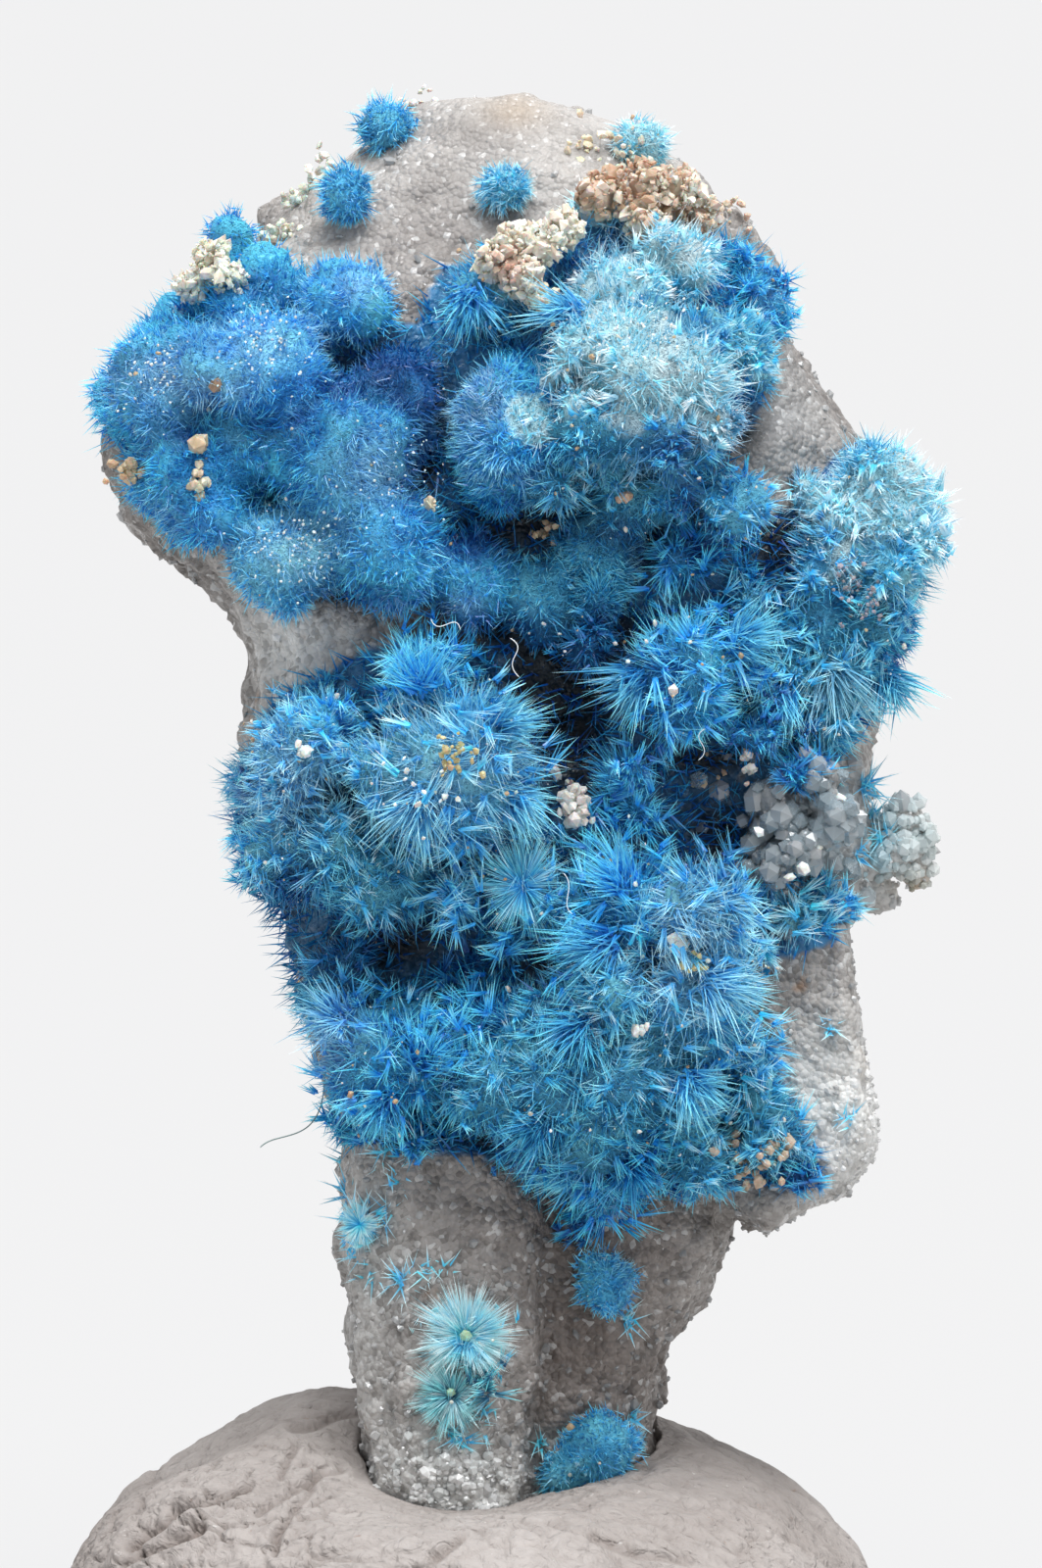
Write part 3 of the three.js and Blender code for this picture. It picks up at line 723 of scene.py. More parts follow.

# Cyanotrichite
# Balls, fans and mats of needles, each needle a few hundredths of a millimetre thick, that grew
# outwards from one point on the quartz. Where balls meet they have grown together. Needles lean
# together in pointed locks and sheaves of them lie across each other; they are deep azure at the
# root and pale at the tip, and towards the root they are painted darker still, as painted shade.

BED_VOXEL = 0.13
SHEAF = 7  # needles in a sheaf
KIND_NAMES = ("velvet", "moss", "tuft", "long", "fan", "burst", "coarse", "mat")
KIND_MEASURES = {
    # one number for each kind of ball, in the order of the names
    # where a needle starts, as a share of its spray's radius
    "root": (0.74, 0.75, 0.42, 0.30, 0.22, 0.05, 0.55, 0.50),
    # a ball's height, as a share of its radius
    "dome": (0.95, 0.60, 0.92, 0.85, 0.80, 0.62, 0.95, 0.80),
    # how many smaller sprays a ball of radius 1 carries
    "small": (12, 26, 8, 7, 5, 2, 13, 9),
    # the part of the ball's needles that the smaller sprays have
    "part": (0.85, 0.95, 0.75, 0.72, 0.60, 0.10, 0.80, 0.75),
    # how far out the smaller sprays stand, as a share of the ball's radius
    "out": (0.58, 0.78, 0.48, 0.44, 0.34, 0.10, 0.62, 0.50),
    # the smaller sprays' own radius, as such a share
    "reach": (0.46, 0.34, 0.60, 0.66, 0.74, 0.8, 0.48, 0.54),
    # locks of needles on a spray of radius 1
    "locks": (150, 150, 80, 70, 70, 170, 150, 60),
    # how far the tips lean into their lock
    "gather": (0.40, 0.40, 0.62, 0.60, 0.60, 0.25, 0.90, 0.45),
    # how crooked the needles are
    "stray": (0.34, 0.30, 0.16, 0.14, 0.12, 0.07, 0.22, 0.30),
    # how uneven the locks' lengths are
    "shag": (0.26, 0.22, 0.36, 0.45, 0.45, 0.34, 0.42, 0.36),
    # a needle's width
    "width": (0.024, 0.026, 0.040, 0.042, 0.042, 0.032, 0.070, 0.040),
    # the least angle that needles grow at, in degrees from the outward axis
    "low": (0, 0, 0, 0, 8, 32, 0, 0),
    # the greatest such angle
    "high": (100, 100, 102, 98, 100, 92, 108, 103),
    # how far a spray's middle stands out, as a share of its radius
    "lift": (0, 0, 0, 0, 0, 0.36, 0, 0),
    # the radius of the felted body, as a share of its spray's
    "bed": (0.80, 0.82, 0.52, 0.44, 0.38, 0.16, 0.66, 0.60),
    # how light the felted body is against its needles: below 1 it is painted darker, as painted shade
    # between them
    "glow": (1.0, 1.0, 0.8, 0.8, 0.8, 0.8, 0.85, 0.8),
    # how densely short needles stand on the felted body
    "coat": (1.4, 1.4, 0.3, 0.2, 0.2, 0.0, 0.4, 0.3),
    # how long those short needles are
    "fur": (0.17, 0.12, 0.24, 0.26, 0.24, 0.2, 0.26, 0.30),
    # the part of a spray's needles that lie in sheaves
    "thatch": (0.30, 0.20, 0.22, 0.30, 0.28, 0.06, 0.48, 0.60),
    # how long the sheaves are
    "sheaf": (0.24, 0.18, 0.46, 0.62, 0.66, 0.3, 0.40, 0.56),
}
KINDS = {
    kind: {measure: row[n] for measure, row in KIND_MEASURES.items()}
    for n, kind in enumerate(KIND_NAMES)
}
HUES = {
    # at the root and at the tip
    "azure": [(0.003, 0.22, 0.66), (0.12, 0.82, 1.00)],
    "bright": [(0.005, 0.32, 0.88), (0.17, 0.93, 1.00)],
    "deep": [(0.003, 0.10, 0.40), (0.05, 0.56, 0.95)],
    "sky": [(0.012, 0.34, 0.76), (0.30, 0.98, 1.00)],
    "pale": [(0.36, 0.86, 0.97), (1.00, 1.00, 1.00)],
    "cyan": [(0.03, 0.44, 0.72), (0.48, 1.00, 1.00)],
    "icy": [(0.03, 0.52, 0.84), (0.50, 1.00, 1.00)],
    "teal": [(0.013, 0.29, 0.58), (0.25, 0.88, 1.00)],
    "grey": [(0.03, 0.19, 0.32), (0.36, 0.76, 0.90)],
    "heart": [(0.002, 0.06, 0.15), (0.24, 0.92, 1.00)],
}
# The white that needles and bodies are drawn towards: real pale frosting, and painted highlight on tips that
# glint.
FROST_AND_GLINT_WHITE = (0.78, 0.96, 1.00)
NEEDLES = {
    # slot, needles in all, and balls: across, depth, up, radius, kind, hue
    "spray_lower": ("azure_needles", 41000, [
        (2.1, -2.5, 12.75, 1.4, "fan", "bright"),
        (3.1, -2.6, 11.55, 1.5, "long", "sky"),
        (1.65, -2.5, 10.35, 1.7, "mat", "teal"),
        (0.0, -2.0, 10.95, 1.3, "long", "azure"),
        (-1.5, -2.2, 10.6, 1.35, "long", "azure"),
        (-2.2, -1.6, 11.85, 0.95, "tuft", "teal"),
        (0.5, -2.0, 9.4, 0.75, "tuft", "azure"),
        (1.7, -2.0, 8.75, 0.85, "fan", "azure"),
        (3.15, -2.1, 9.15, 0.9, "tuft", "teal"),
        (4.35, -1.8, 9.5, 0.75, "mat", "teal"),
        (4.05, -2.1, 10.5, 0.7, "long", "sky"),
    ]),
    "spray_middle": ("azure_needles", 32000, [
        (-0.9, -2.1, 16.5, 1.05, "long", "bright"),
        (-0.55, -2.9, 15.15, 1.6, "long", "sky"),
        (-2.75, -2.2, 15.4, 1.15, "tuft", "sky"),
        (-3.0, -1.9, 13.9, 1.0, "mat", "sky"),
        (-1.5, -2.1, 13.4, 1.05, "mat", "teal"),
        (0.5, -2.5, 13.3, 0.95, "burst", "sky"),
        (1.95, -2.2, 14.4, 0.9, "fan", "azure"),
    ]),
    "spray_shoulder": ("pale_needles", 24000, [
        (6.0, -0.9, 19.05, 1.1, "coarse", "pale"),
        (6.1, -0.7, 18.0, 0.75, "coarse", "cyan"),
        (5.25, -1.2, 17.3, 1.1, "long", "teal"),
        (5.2, -1.2, 15.9, 0.85, "long", "teal"),
        (2.85, -2.6, 16.5, 1.3, "long", "azure"),
        (4.05, -2.2, 15.6, 0.55, "tuft", "deep"),
        (4.2, -1.7, 17.0, 0.8, "long", "teal"),
        (1.5, -2.2, 16.9, 0.7, "tuft", "teal"),
        (5.35, -1.5, 18.95, 0.60, "coarse", "pale"),
        (6.6, -1.3, 18.7, 0.55, "coarse", "pale"),
        (5.75, -1.5, 19.65, 0.55, "coarse", "cyan"),
        (6.15, -1.7, 18.2, 0.50, "coarse", "cyan"),
        (5.0, -1.6, 18.2, 0.55, "tuft", "sky"),
        (5.9, -1.3, 17.2, 0.60, "long", "teal"),
    ]),
    "spray_head_right": ("pale_needles", 34000, [
        (2.3, -2.5, 20.9, 1.45, "coarse", "pale"),
        (0.4, -2.3, 20.1, 1.15, "velvet", "azure"),
        (-0.15, -1.4, 22.3, 0.9, "tuft", "sky"),
        (1.8, -1.6, 22.05, 0.95, "coarse", "pale"),
        (2.85, -1.2, 22.8, 0.75, "coarse", "pale"),
        (3.72, -1.6, 21.6, 0.68, "coarse", "cyan"),
        (2.1, -2.0, 19.35, 1.1, "tuft", "teal"),
        (3.85, -2.5, 19.1, 0.65, "tuft", "sky"),
        (3.0, -1.8, 18.3, 0.95, "long", "azure"),
        (1.65, -1.7, 18.4, 0.85, "velvet", "teal"),
        (1.35, -2.9, 21.5, 0.62, "coarse", "pale"),
        (3.3, -2.7, 20.3, 0.66, "coarse", "pale"),
        (3.05, -2.5, 21.6, 0.60, "coarse", "teal"),
        (1.5, -3.2, 20.2, 0.60, "coarse", "teal"),
        (2.6, -3.3, 20.0, 0.55, "coarse", "sky"),
        (2.3, -2.3, 22.35, 0.50, "coarse", "pale"),
        (0.95, -2.6, 19.4, 0.60, "tuft", "cyan"),
        (2.9, -2.9, 19.4, 0.55, "tuft", "sky"),
    ]),
    "spray_head_left": ("azure_needles", 38000, [
        (-4.8, -1.4, 20.85, 1.2, "velvet", "azure"),
        (-3.4, -2.1, 21.2, 1.1, "velvet", "bright"),
        (-2.1, -1.7, 22.2, 0.8, "velvet", "bright"),
        (-1.4, -2.0, 20.9, 0.75, "velvet", "deep"),
        (-2.3, -2.2, 19.95, 1.25, "velvet", "azure"),
        (-4.4, -1.6, 19.6, 1.2, "velvet", "azure"),
        (-3.1, -2.1, 18.3, 0.95, "velvet", "sky"),
        (-1.6, -2.1, 18.5, 1.15, "velvet", "azure"),
        (-0.3, -1.9, 18.0, 0.85, "velvet", "azure"),
        (0.75, -1.75, 17.6, 0.8, "velvet", "teal"),
    ]),
    "spray_side": ("pale_needles", 2600, [
        (4.6, -1.5, 12.75, 0.6, "fan", "cyan"),
        (5.2, -1.3, 12.9, 0.5, "fan", "sky"),
    ]),
    "tuft_foot": ("pale_needles", 6400, [
        (-0.35, -1.9, 6.4, 0.92, "burst", "icy"),
        (-0.55, -1.95, 5.5, 0.75, "burst", "heart"),
        (-0.45, -1.9, 4.95, 0.42, "fan", "icy"),
    ]),
    "tuft_foot_left": ("pale_needles", 700, [(-1.95, -1.7, 8.1, 0.5, "burst", "icy")]),
    "patch_foot_high": ("azure_needles", 1500, [(1.8, -1.2, 7.2, 0.55, "moss", "sky")]),
    "patch_foot_low": ("azure_needles", 2800, [
        (1.65, -1.0, 4.7, 0.65, "moss", "sky"),
        (1.1, -1.0, 4.25, 0.45, "moss", "cyan"),
    ]),
    "tuft_top": ("azure_needles", 1300, [(-1.6, 0.9, 25.0, 0.5, "velvet", "sky")]),
    "tuft_top_left": ("azure_needles", 1300, [(-2.2, -0.5, 23.9, 0.5, "velvet", "sky")]),
    "tuft_top_far_left": ("azure_needles", 1300, [(-4.0, 0.4, 23.3, 0.5, "velvet", "bright")]),
    "tuft_top_middle": ("azure_needles", 1300, [(0.2, -0.6, 24.0, 0.45, "velvet", "cyan")]),
    "tuft_top_right": ("pale_needles", 1300, [(2.3, 0.5, 24.7, 0.5, "velvet", "pale")]),
    "tuft_head_edge": ("azure_needles", 2600, [
        (4.05, 0.0, 22.35, 0.55, "tuft", "azure"),
        (4.3, 0.1, 21.8, 0.5, "tuft", "azure"),
    ]),
    "tuft_back_high": ("azure_needles", 4500, [
        (-1.6, 4.1, 20.4, 1.0, "tuft", "azure"),
        (-0.5, 4.1, 21.2, 0.8, "tuft", "sky"),
    ]),
    "tuft_back_low": ("pale_needles", 2200, [(1.9, 3.2, 14.6, 0.85, "long", "sky")]),
}
SWEEPS = [
    # fans that lean one way: column and row of the photograph, depth, lean, reach in
    # millimetres, spread in degrees, needles, hue, and the mass they grow in
    (845, 672, -1.5, (0.15, -0.5, -1.0), 1.75, 44, 260, "grey", "spray_shoulder"),
    (800, 700, -1.8, (-0.35, -0.5, -0.9), 1.35, 46, 210, "sky", "spray_shoulder"),
    (905, 690, -1.0, (0.5, -0.6, -0.9), 1.1, 48, 159, "teal", "spray_shoulder"),
    (745, 655, -2.6, (0.9, -0.7, 0.3), 1.35, 46, 176, "sky", "spray_shoulder"),
    (655, 690, -2.8, (-0.9, -0.6, -0.7), 1.35, 46, 176, "sky", "spray_shoulder"),
    (700, 395, -2.6, (0.9, -0.6, -0.5), 1.3, 46, 218, "pale", "spray_head_right"),
    (640, 385, -3.0, (0.1, -0.8, -0.9), 1.2, 54, 218, "cyan", "spray_head_right"),
    (590, 320, -2.6, (-1.0, -0.6, 0.1), 1.2, 48, 176, "sky", "spray_head_right"),
    (480, 300, -2.2, (-0.2, -0.8, -0.9), 0.95, 56, 159, "azure", "spray_head_right"),
    (500, 740, -3.4, (1.0, -0.5, 0.35), 1.35, 42, 176, "sky", "spray_middle"),
    (430, 700, -3.2, (-0.3, -0.6, 1.0), 1.2, 50, 176, "bright", "spray_middle"),
    (430, 815, -3.4, (-0.3, -0.8, -0.9), 1.3, 52, 218, "sky", "spray_middle"),
    (520, 810, -3.2, (0.8, -0.6, -0.7), 1.2, 48, 176, "sky", "spray_middle"),
    (640, 800, -2.4, (-0.7, -0.7, 0.7), 1.15, 50, 176, "azure", "spray_middle"),
    (300, 830, -2.0, (-0.8, -0.7, -0.3), 1.0, 54, 176, "sky", "spray_middle"),
    (640, 905, -3.2, (-0.6, -0.7, 0.6), 1.3, 46, 176, "bright", "spray_lower"),
    (625, 960, -3.3, (-1.0, -0.5, -0.4), 1.6, 50, 294, "azure", "spray_lower"),
    (690, 925, -3.4, (0.9, -0.7, -0.2), 1.4, 46, 260, "sky", "spray_lower"),
    (720, 1000, -3.5, (0.9, -0.6, -0.6), 1.3, 48, 218, "sky", "spray_lower"),
    (600, 1040, -3.2, (-0.6, -0.7, -0.8), 1.5, 54, 260, "azure", "spray_lower"),
    (700, 1100, -3.2, (0.6, -0.7, -0.8), 1.2, 52, 218, "sky", "spray_lower"),
    (560, 1140, -2.8, (-0.7, -0.6, -0.7), 1.3, 50, 218, "azure", "spray_lower"),
    (640, 1185, -2.5, (0.2, -0.5, -1.0), 1.15, 54, 218, "azure", "spray_lower"),
    (590, 1195, -2.2, (-1.0, -0.5, -0.35), 1.2, 40, 134, "sky", "spray_lower"),
    (430, 1085, -2.9, (0.4, -0.7, 0.7), 1.3, 54, 218, "azure", "spray_lower"),
    (350, 1040, -2.4, (-0.7, -0.7, 0.2), 1.1, 54, 176, "azure", "spray_lower"),
    (395, 1120, -2.6, (-0.4, -0.6, -0.9), 1.1, 52, 176, "azure", "spray_lower"),
    (480, 1110, -2.4, (0.2, -0.7, -0.9), 1.1, 52, 176, "bright", "spray_lower"),
]
every_ball = [ball for _, _, balls in NEEDLES.values() for ball in balls]
ball_places = np.array([ball[:3] for ball in every_ball])
ball_radii = np.array([ball[3] for ball in every_ball])


def outward(place):
    """The way a ball on the stone faces: the slope of the ellipsoid that the stone nearly is."""
    across, depth, up = place
    crown = max(0.0, up - 20) / 16
    return unit(np.array([(across - 0.3) / 30, (depth - 1.1) / 8.4, crown]))


def scattered(axis, band, count, rng):
    """Directions spread evenly over the band of angles, in degrees, about an axis."""
    low, high = np.cos(np.radians(band))
    along = rng.uniform(high, low, count)
    turn = rng.uniform(0, 2 * math.pi, count)
    side = unit(np.cross(axis, [0.3, 0.2, 0.93]))
    other = np.cross(axis, side)
    out = np.sqrt(1 - along**2)
    ring = side * np.cos(turn)[:, None] + other * np.sin(turn)[:, None]
    return axis * along[:, None] + ring * out[:, None]


def flattened(points, axis, dome):
    """Points about a ball's centre, their height along its outward axis times the dome's share."""
    height = np.maximum(points @ axis, 0)
    return points - (1 - dome) * height[:, None] * axis


def sprays_of(ball, rng):
    """A ball as sprays: itself, and the smaller ones that stand out from it all round. Each spray
    is its middle, outward axis, radius and part of the needles."""
    *centre, radius, kind, _ = ball
    style = KINDS[kind]
    centre, axis = np.array(centre), outward(np.array(centre))
    count = max(2, round(style["small"] * radius**1.4))
    ways = scattered(axis, (0, 88), count, rng)
    out = style["out"] * radius * rng.uniform(0.75, 1.15, (count, 1))
    middles = centre + flattened(ways * out, axis, style["dome"])
    reach = style["reach"] * radius * rng.uniform(0.72, 1.18, count)
    parts = style["part"] * reach**2 / np.sum(reach**2)
    sprays = [(centre, axis, radius, 1 - style["part"])]
    for middle, way, size, part in zip(middles, ways, reach, parts):
        sprays.append((middle, unit(way + 0.35 * axis), size, part))
    return sprays


def lock_lines(spray, style, count, rng):
    """The roots, tips and lightness of one spray's needles. A needle starts part of the way out
    along its direction. Its tip is drawn towards the nearest lock's direction, and its length
    falls off towards the lock's edge, so the tips of a lock meet in a point."""
    centre, axis, radius, _ = spray
    centre = centre + style["lift"] * radius * axis
    band = style["low"], style["high"]
    ways = scattered(axis, band, count, rng)
    locks = scattered(axis, band, max(7, int(style["locks"] * radius**2)), rng)
    closeness = ways @ locks.T
    nearest = closeness.argmax(axis=1)
    edge = np.sqrt(2 - 2 * closeness.max(axis=1).clip(-1, 1))
    pull = style["gather"] * rng.uniform(0.4, 1.15, count)[:, None]
    aim = unit(ways + (locks[nearest] - ways) * pull + style["stray"] * rng.normal(size=ways.shape))
    lock_reach = 1 + style["shag"] * rng.uniform(-1, 0.5, len(locks))
    reach = lock_reach[nearest] * (1.06 - 0.18 * edge / np.median(edge)) * rng.uniform(0.75, 1.08, count)
    roots = ways * radius * style["root"] * rng.uniform(0.75, 1.05, count)[:, None]
    tips = aim * radius * reach[:, None]
    roots, tips = (centre + flattened(ends, axis, style["dome"]) for ends in (roots, tips))
    return roots, tips, rng.uniform(0.5, 1.45, len(locks))[nearest]


def sheaf_lines(spray, style, count, rng):
    """The roots, tips and lightness of sheaves that lie across a spray: the needles of each fan
    out from one point in the spray's outer part, more sideways than outwards."""
    centre, axis, radius, _ = spray
    ways = scattered(axis, (style["low"], style["high"]), 1 + count // SHEAF, rng)
    sideways = unit(np.cross(ways, rng.normal(size=ways.shape)))
    lean = unit(sideways + ways * rng.uniform(0.1, 1.0, (len(ways), 1)))
    starts = ways * radius * rng.uniform(0.6, 0.92, (len(ways), 1))
    starts = centre + flattened(starts, axis, style["dome"])
    each = np.repeat(np.arange(len(ways)), SHEAF)
    aim = unit(lean[each] + 0.17 * rng.normal(size=(len(each), 3)))
    length = style["sheaf"] * (0.45 + 0.55 * min(1, radius)) * rng.uniform(0.6, 1.2, len(ways))[each]
    roots = starts[each] + 0.02 * rng.normal(size=aim.shape)
    tips = roots + aim * (length * rng.uniform(0.6, 1.05, len(each)))[:, None]
    return roots, tips, rng.uniform(0.7, 1.6, len(ways))[each]


def spikes(roots, tips, widths, rng):
    """A closed three-sided spike for each needle: three corners round the root and one tip."""
    way = unit(tips - roots)
    side = unit(np.cross(way, rng.normal(size=way.shape)))
    ring = rings_of(side, np.cross(way, side), 3)
    base = roots[:, None] + ring * widths[:, None, None] / 2
    points = np.concatenate([base, tips[:, None]], axis=1)
    corners = np.array([(0, 1, 3), (1, 2, 3), (2, 0, 3), (0, 2, 1)])
    return points, corners + 4 * np.arange(len(roots))[:, None, None]


def bed_of(spheres, name):
    """The felted body that the needles of a mass stand on: balls grown into one closed surface
    by a fine remesh, then made lumpy. Gives its points, normals, triangles and lumps from -1 to 1."""
    ball = bmesh.new()
    bmesh.ops.create_icosphere(ball, subdivisions=2, radius=1)
    corners = np.array([vert.co[:] for vert in ball.verts])
    sides = np.array([[vert.index for vert in face.verts] for face in ball.faces])
    ball.free()
    centres, radii = np.array([sphere[0] for sphere in spheres]), np.array([s[1] for s in spheres])
    points = (centres[:, None] + corners * radii[:, None, None]).reshape(-1, 3)
    faces = (sides + len(corners) * np.arange(len(spheres))[:, None, None]).reshape(-1, 3)
    made, points, normals = fine_copy(mesh_of(name, points, faces), BED_VOXEL)
    lumps = 0.55 * swells(points, 0.45, 81) + 0.45 * swells(points, 0.2, 82)
    points += normals * 0.14 * lumps[:, None]
    quads = np.empty(len(made.polygons) * 4, np.int32)
    made.polygons.foreach_get("vertices", quads)
    quads = quads.reshape(-1, 4)
    return points, normals, np.r_[quads[:, [0, 1, 2]], quads[:, [0, 2, 3]]], lumps


def coat_lines(points, normals, density, fur, count, rng):
    """The roots, tips and lightness of short needles that stand on a body: they follow its
    normals, and the needles of one small cell lean the same way, into a lock."""
    chosen = rng.choice(len(points), count, p=density / density.sum())
    roots = points[chosen] + 0.05 * rng.normal(size=(count, 3))
    cell = grains_at(roots, 0.16, 90)[2]
    lock = np.stack([cell_value(cell, 91 + n) for n in range(3)], axis=-1) - 0.5
    aim = unit(normals[chosen] + 1.3 * lock + 0.25 * rng.normal(size=(count, 3)))
    length = fur[chosen] * (0.6 + 0.9 * cell_value(cell, 95)) * rng.uniform(0.7, 1.3, count)
    return roots - 0.03 * aim, roots + aim * length[:, None], 0.7 + 0.7 * cell_value(cell, 96)


# The valleys between balls that touch hold smaller tufts, and so does the stone in the gaps
# between them. Each is like one of the balls beside it.
VALLEY_REACH = 1.12
FILL_COUNT = 130
LEAST_FREE = 30  # points of the stone; with fewer left to fill, no more tufts are added
FAR_AWAY = 9.0


def gap_to_balls(share):
    """How far each of the stone's points is from the nearest ball, the balls at this share of
    their size: the distance to its middle less its radius."""
    gap = np.full(len(stone_places), FAR_AWAY)
    for ball_place, radius in zip(ball_places, ball_radii):
        gap = np.minimum(gap, np.linalg.norm(stone_places - ball_place, axis=-1) - share * radius)
    return gap


rng = np.random.default_rng(21)
ball_masses = [name for name, (_, _, balls) in NEEDLES.items() for _ in balls]
SMALLER_KIND = {"burst": "fan", "coarse": "tuft"}  # what a small tuft beside such a ball is like
fillers = []
for first_ball in range(len(every_ball)):
    for other_ball in range(first_ball):
        a, b = every_ball[first_ball], every_ball[other_ball]
        across_both = ball_places[first_ball] - ball_places[other_ball]
        close = np.linalg.norm(across_both) < VALLEY_REACH * (a[3] + b[3])
        furry = a[4] == "velvet" and b[4] == "velvet"
        if close and rng.uniform() > 0.7 * furry:
            small = min(a[3], b[3])
            middle = ball_places[other_ball] + across_both * b[3] / (a[3] + b[3])
            middle = middle + outward(middle) * 0.35 * small
            middle = middle + 0.3 * small * rng.normal(size=3) * [1, 0.4, 1]
            like = [a, b][rng.integers(2)]
            kind = SMALLER_KIND.get(like[4], like[4])
            radius = rng.uniform(0.45, 0.75) * small
            if spotted(middle[None], HOLLOWS)[0] < 0.45:
                fillers.append((ball_masses[first_ball], (*middle, radius, kind, like[5])))
gap = gap_to_balls(1)
free = covered * (gap > -0.2) * (gap < 1.6) * (dark < 0.3) * (facing > 0.1)
for _ in range(FILL_COUNT):
    if free.sum() < LEAST_FREE:
        break
    pick = rng.choice(len(free), p=free / free.sum())
    radius = rng.uniform(0.3, 0.62)
    free = free * (np.linalg.norm(stone_places - stone_places[pick], axis=-1) > 0.8 * radius)
    closest = (np.linalg.norm(ball_places - stone_places[pick], axis=-1) - ball_radii).argmin()
    kind, hue = every_ball[closest][4:]
    kind = SMALLER_KIND.get(kind, kind)
    hue = [hue, hue, "azure", "deep"][rng.integers(4)]
    fillers.append((ball_masses[closest], (*stone_places[pick], radius, kind, hue)))
for name, filler in fillers:
    NEEDLES[name][2].append(filler)
VALLEY_LIGHT = 0.92  # painted shade: how light the needles down there are, against those of the balls
DEEPENING = (1.5, 1.0, 0.65)  # a dim needle is a deeper blue: its red falls first, its blue last
HOLLOW_SHADE = np.array([0.90, 0.72, 0.52])  # painted shade: what a hollow takes of each colour
DUSK_SHADE = np.array([0.72, 0.42, 0.26])  # and what the painted shade of the deeper blue places between balls takes
MAT_SHADE = (0.08, 0.27, 0.50)
ROOT_SHADE = (0.46, 0.78, 0.93)
SEA_GREEN = (0.22, 0.56, 0.60)

needle_finish, needle_in, start = principled("cyanotrichite_needles", specular_ior_level=0.55)
place = start.add("TexCoord", out=3)
along_share, chance, matted = start.channels("needle")
colour = start.add("VertexColor", {"layer_name": "hue"})


def streaks(turn):
    """Thin lines, 1 on a line and 0 between: where noise drawn out one way is near its middle."""
    values = {"Vector": place, "Rotation": turn, "Scale": (0.00004, 0.00004, 0.0003)}
    drawn = start.add("Mapping", {"vector_type": "TEXTURE"}, values)
    noise = start.add("TexNoise", values={"Vector": drawn, "Scale": 1.0, "Detail": 2.0})
    return (1 - 7 * start.math("ABSOLUTE", noise - 0.5)).step(0.0, 1.0)


hay = streaks((0.3, 0.2, 0.0))
for turn in ((1.4, 0.5, 0.4), (0.5, 1.3, 0.9), (2.2, 0.4, 2.0)):
    hay = start.math("MAXIMUM", hay, streaks(turn))
patch = start.add("TexNoise", values={"Vector": place, "Scale": 900.0, "Detail": 3.0})
# Painted shade: the felted body is darker between its streaks, as in the gaps between fibres.
colour = (matted * (1 - hay)).mix(colour, MAT_SHADE, "MULTIPLY")
# Painted shade: the needles grow darker towards the root, deep in the ball.
colour = ((1 - along_share).step(0.1, 0.85) * (1 - matted)).mix(colour, ROOT_SHADE, "MULTIPLY")
# Painted highlight: the tips of needles picked by chance are drawn towards white, as glints.
colour = (0.75 * (chance * along_share).step(0.66, 0.98)).mix(colour, FROST_AND_GLINT_WHITE)
colour = (0.22 * patch.step(0.60, 0.78)).mix(colour, SEA_GREEN)
colour.feed(needle_in["Base Color"])
(0.5 - 0.25 * chance).feed(needle_in["Roughness"])
bump = start.add("Bump", values={"Strength": 1.0, "Distance": 0.00004, "Height": hay * matted})
bump.feed(needle_in["Normal"])


def dimmed(colours, places):
    """Some colours at each place, less what the painted shade of its hollow and of its deeper blue place
    takes.
    """
    for spots, shade in ((HOLLOWS, HOLLOW_SHADE), (DUSKS, DUSK_SHADE)):
        colours = colours * (1 - spotted(places, spots)[:, None, None] * shade)
    return colours


def spiked(roots, tips, width, hue, tone, frost, rng):
    """Needles as arrays for a mesh: points, triangles, marks (0 at the root to 1 at the tip, a
    number by chance, and 0 for no mat) and colours: the hue's root and tip times the lightness
    raised to the deepening, drawn towards the frost white by the frost and by the frosted places,
    which are partly painted highlight, and dimmed by the painted shade of the hollows and the
    deeper blue places."""
    count = len(roots)
    points, faces = spikes(roots, tips, width * rng.uniform(0.6, 1.35, count), rng)
    marks = np.zeros((count, 4, 3))
    marks[:, 3, 0] = 1
    marks[:, :, 1] = rng.uniform(0, 1, (count, 1))
    bright = tone * rng.uniform(0.85, 1.2, count)
    ends = np.broadcast_to(np.array(hue), (count, 2, 3)) * bright[:, None, None] ** DEEPENING
    frost = (np.broadcast_to(frost, count) + 0.7 * spotted(roots, FROSTS_AND_HIGHLIGHTS)).clip(0, 0.9)
    ends = ends + (np.array(FROST_AND_GLINT_WHITE) - ends) * frost[:, None, None] * [[0.3], [1.0]]
    colours = dimmed(ends, roots)[:, [0, 0, 0, 1]]
    return points.reshape(-1, 3), faces.reshape(-1, 3), marks.reshape(-1, 3), colours.reshape(-1, 3)


def joined(parts):
    """Several parts, each of points, triangles and point rows, as one."""
    points, faces, *rows = zip(*parts)
    starts = np.cumsum([0] + [len(part) for part in points])
    faces = [part + begin for part, begin in zip(faces, starts)]
    return [np.concatenate(rows) for rows in (points, faces, *rows)]


def nearest_of(places, balls):
    """Which ball each place belongs to: the nearest, in the ball's own radii."""
    far = np.linalg.norm(places[:, None] - [ball[:3] for ball in balls], axis=-1)
    return (far / [ball[3] for ball in balls]).argmin(axis=1)


def clear_of(tips, own):
    """Whether each tip is outside every ball but its own, the balls at 0.78 of their size."""
    buried = np.linalg.norm(tips[:, None] - ball_places, axis=-1) < 0.78 * ball_radii
    return ~(buried & [ball != own for ball in every_ball]).any(axis=1)


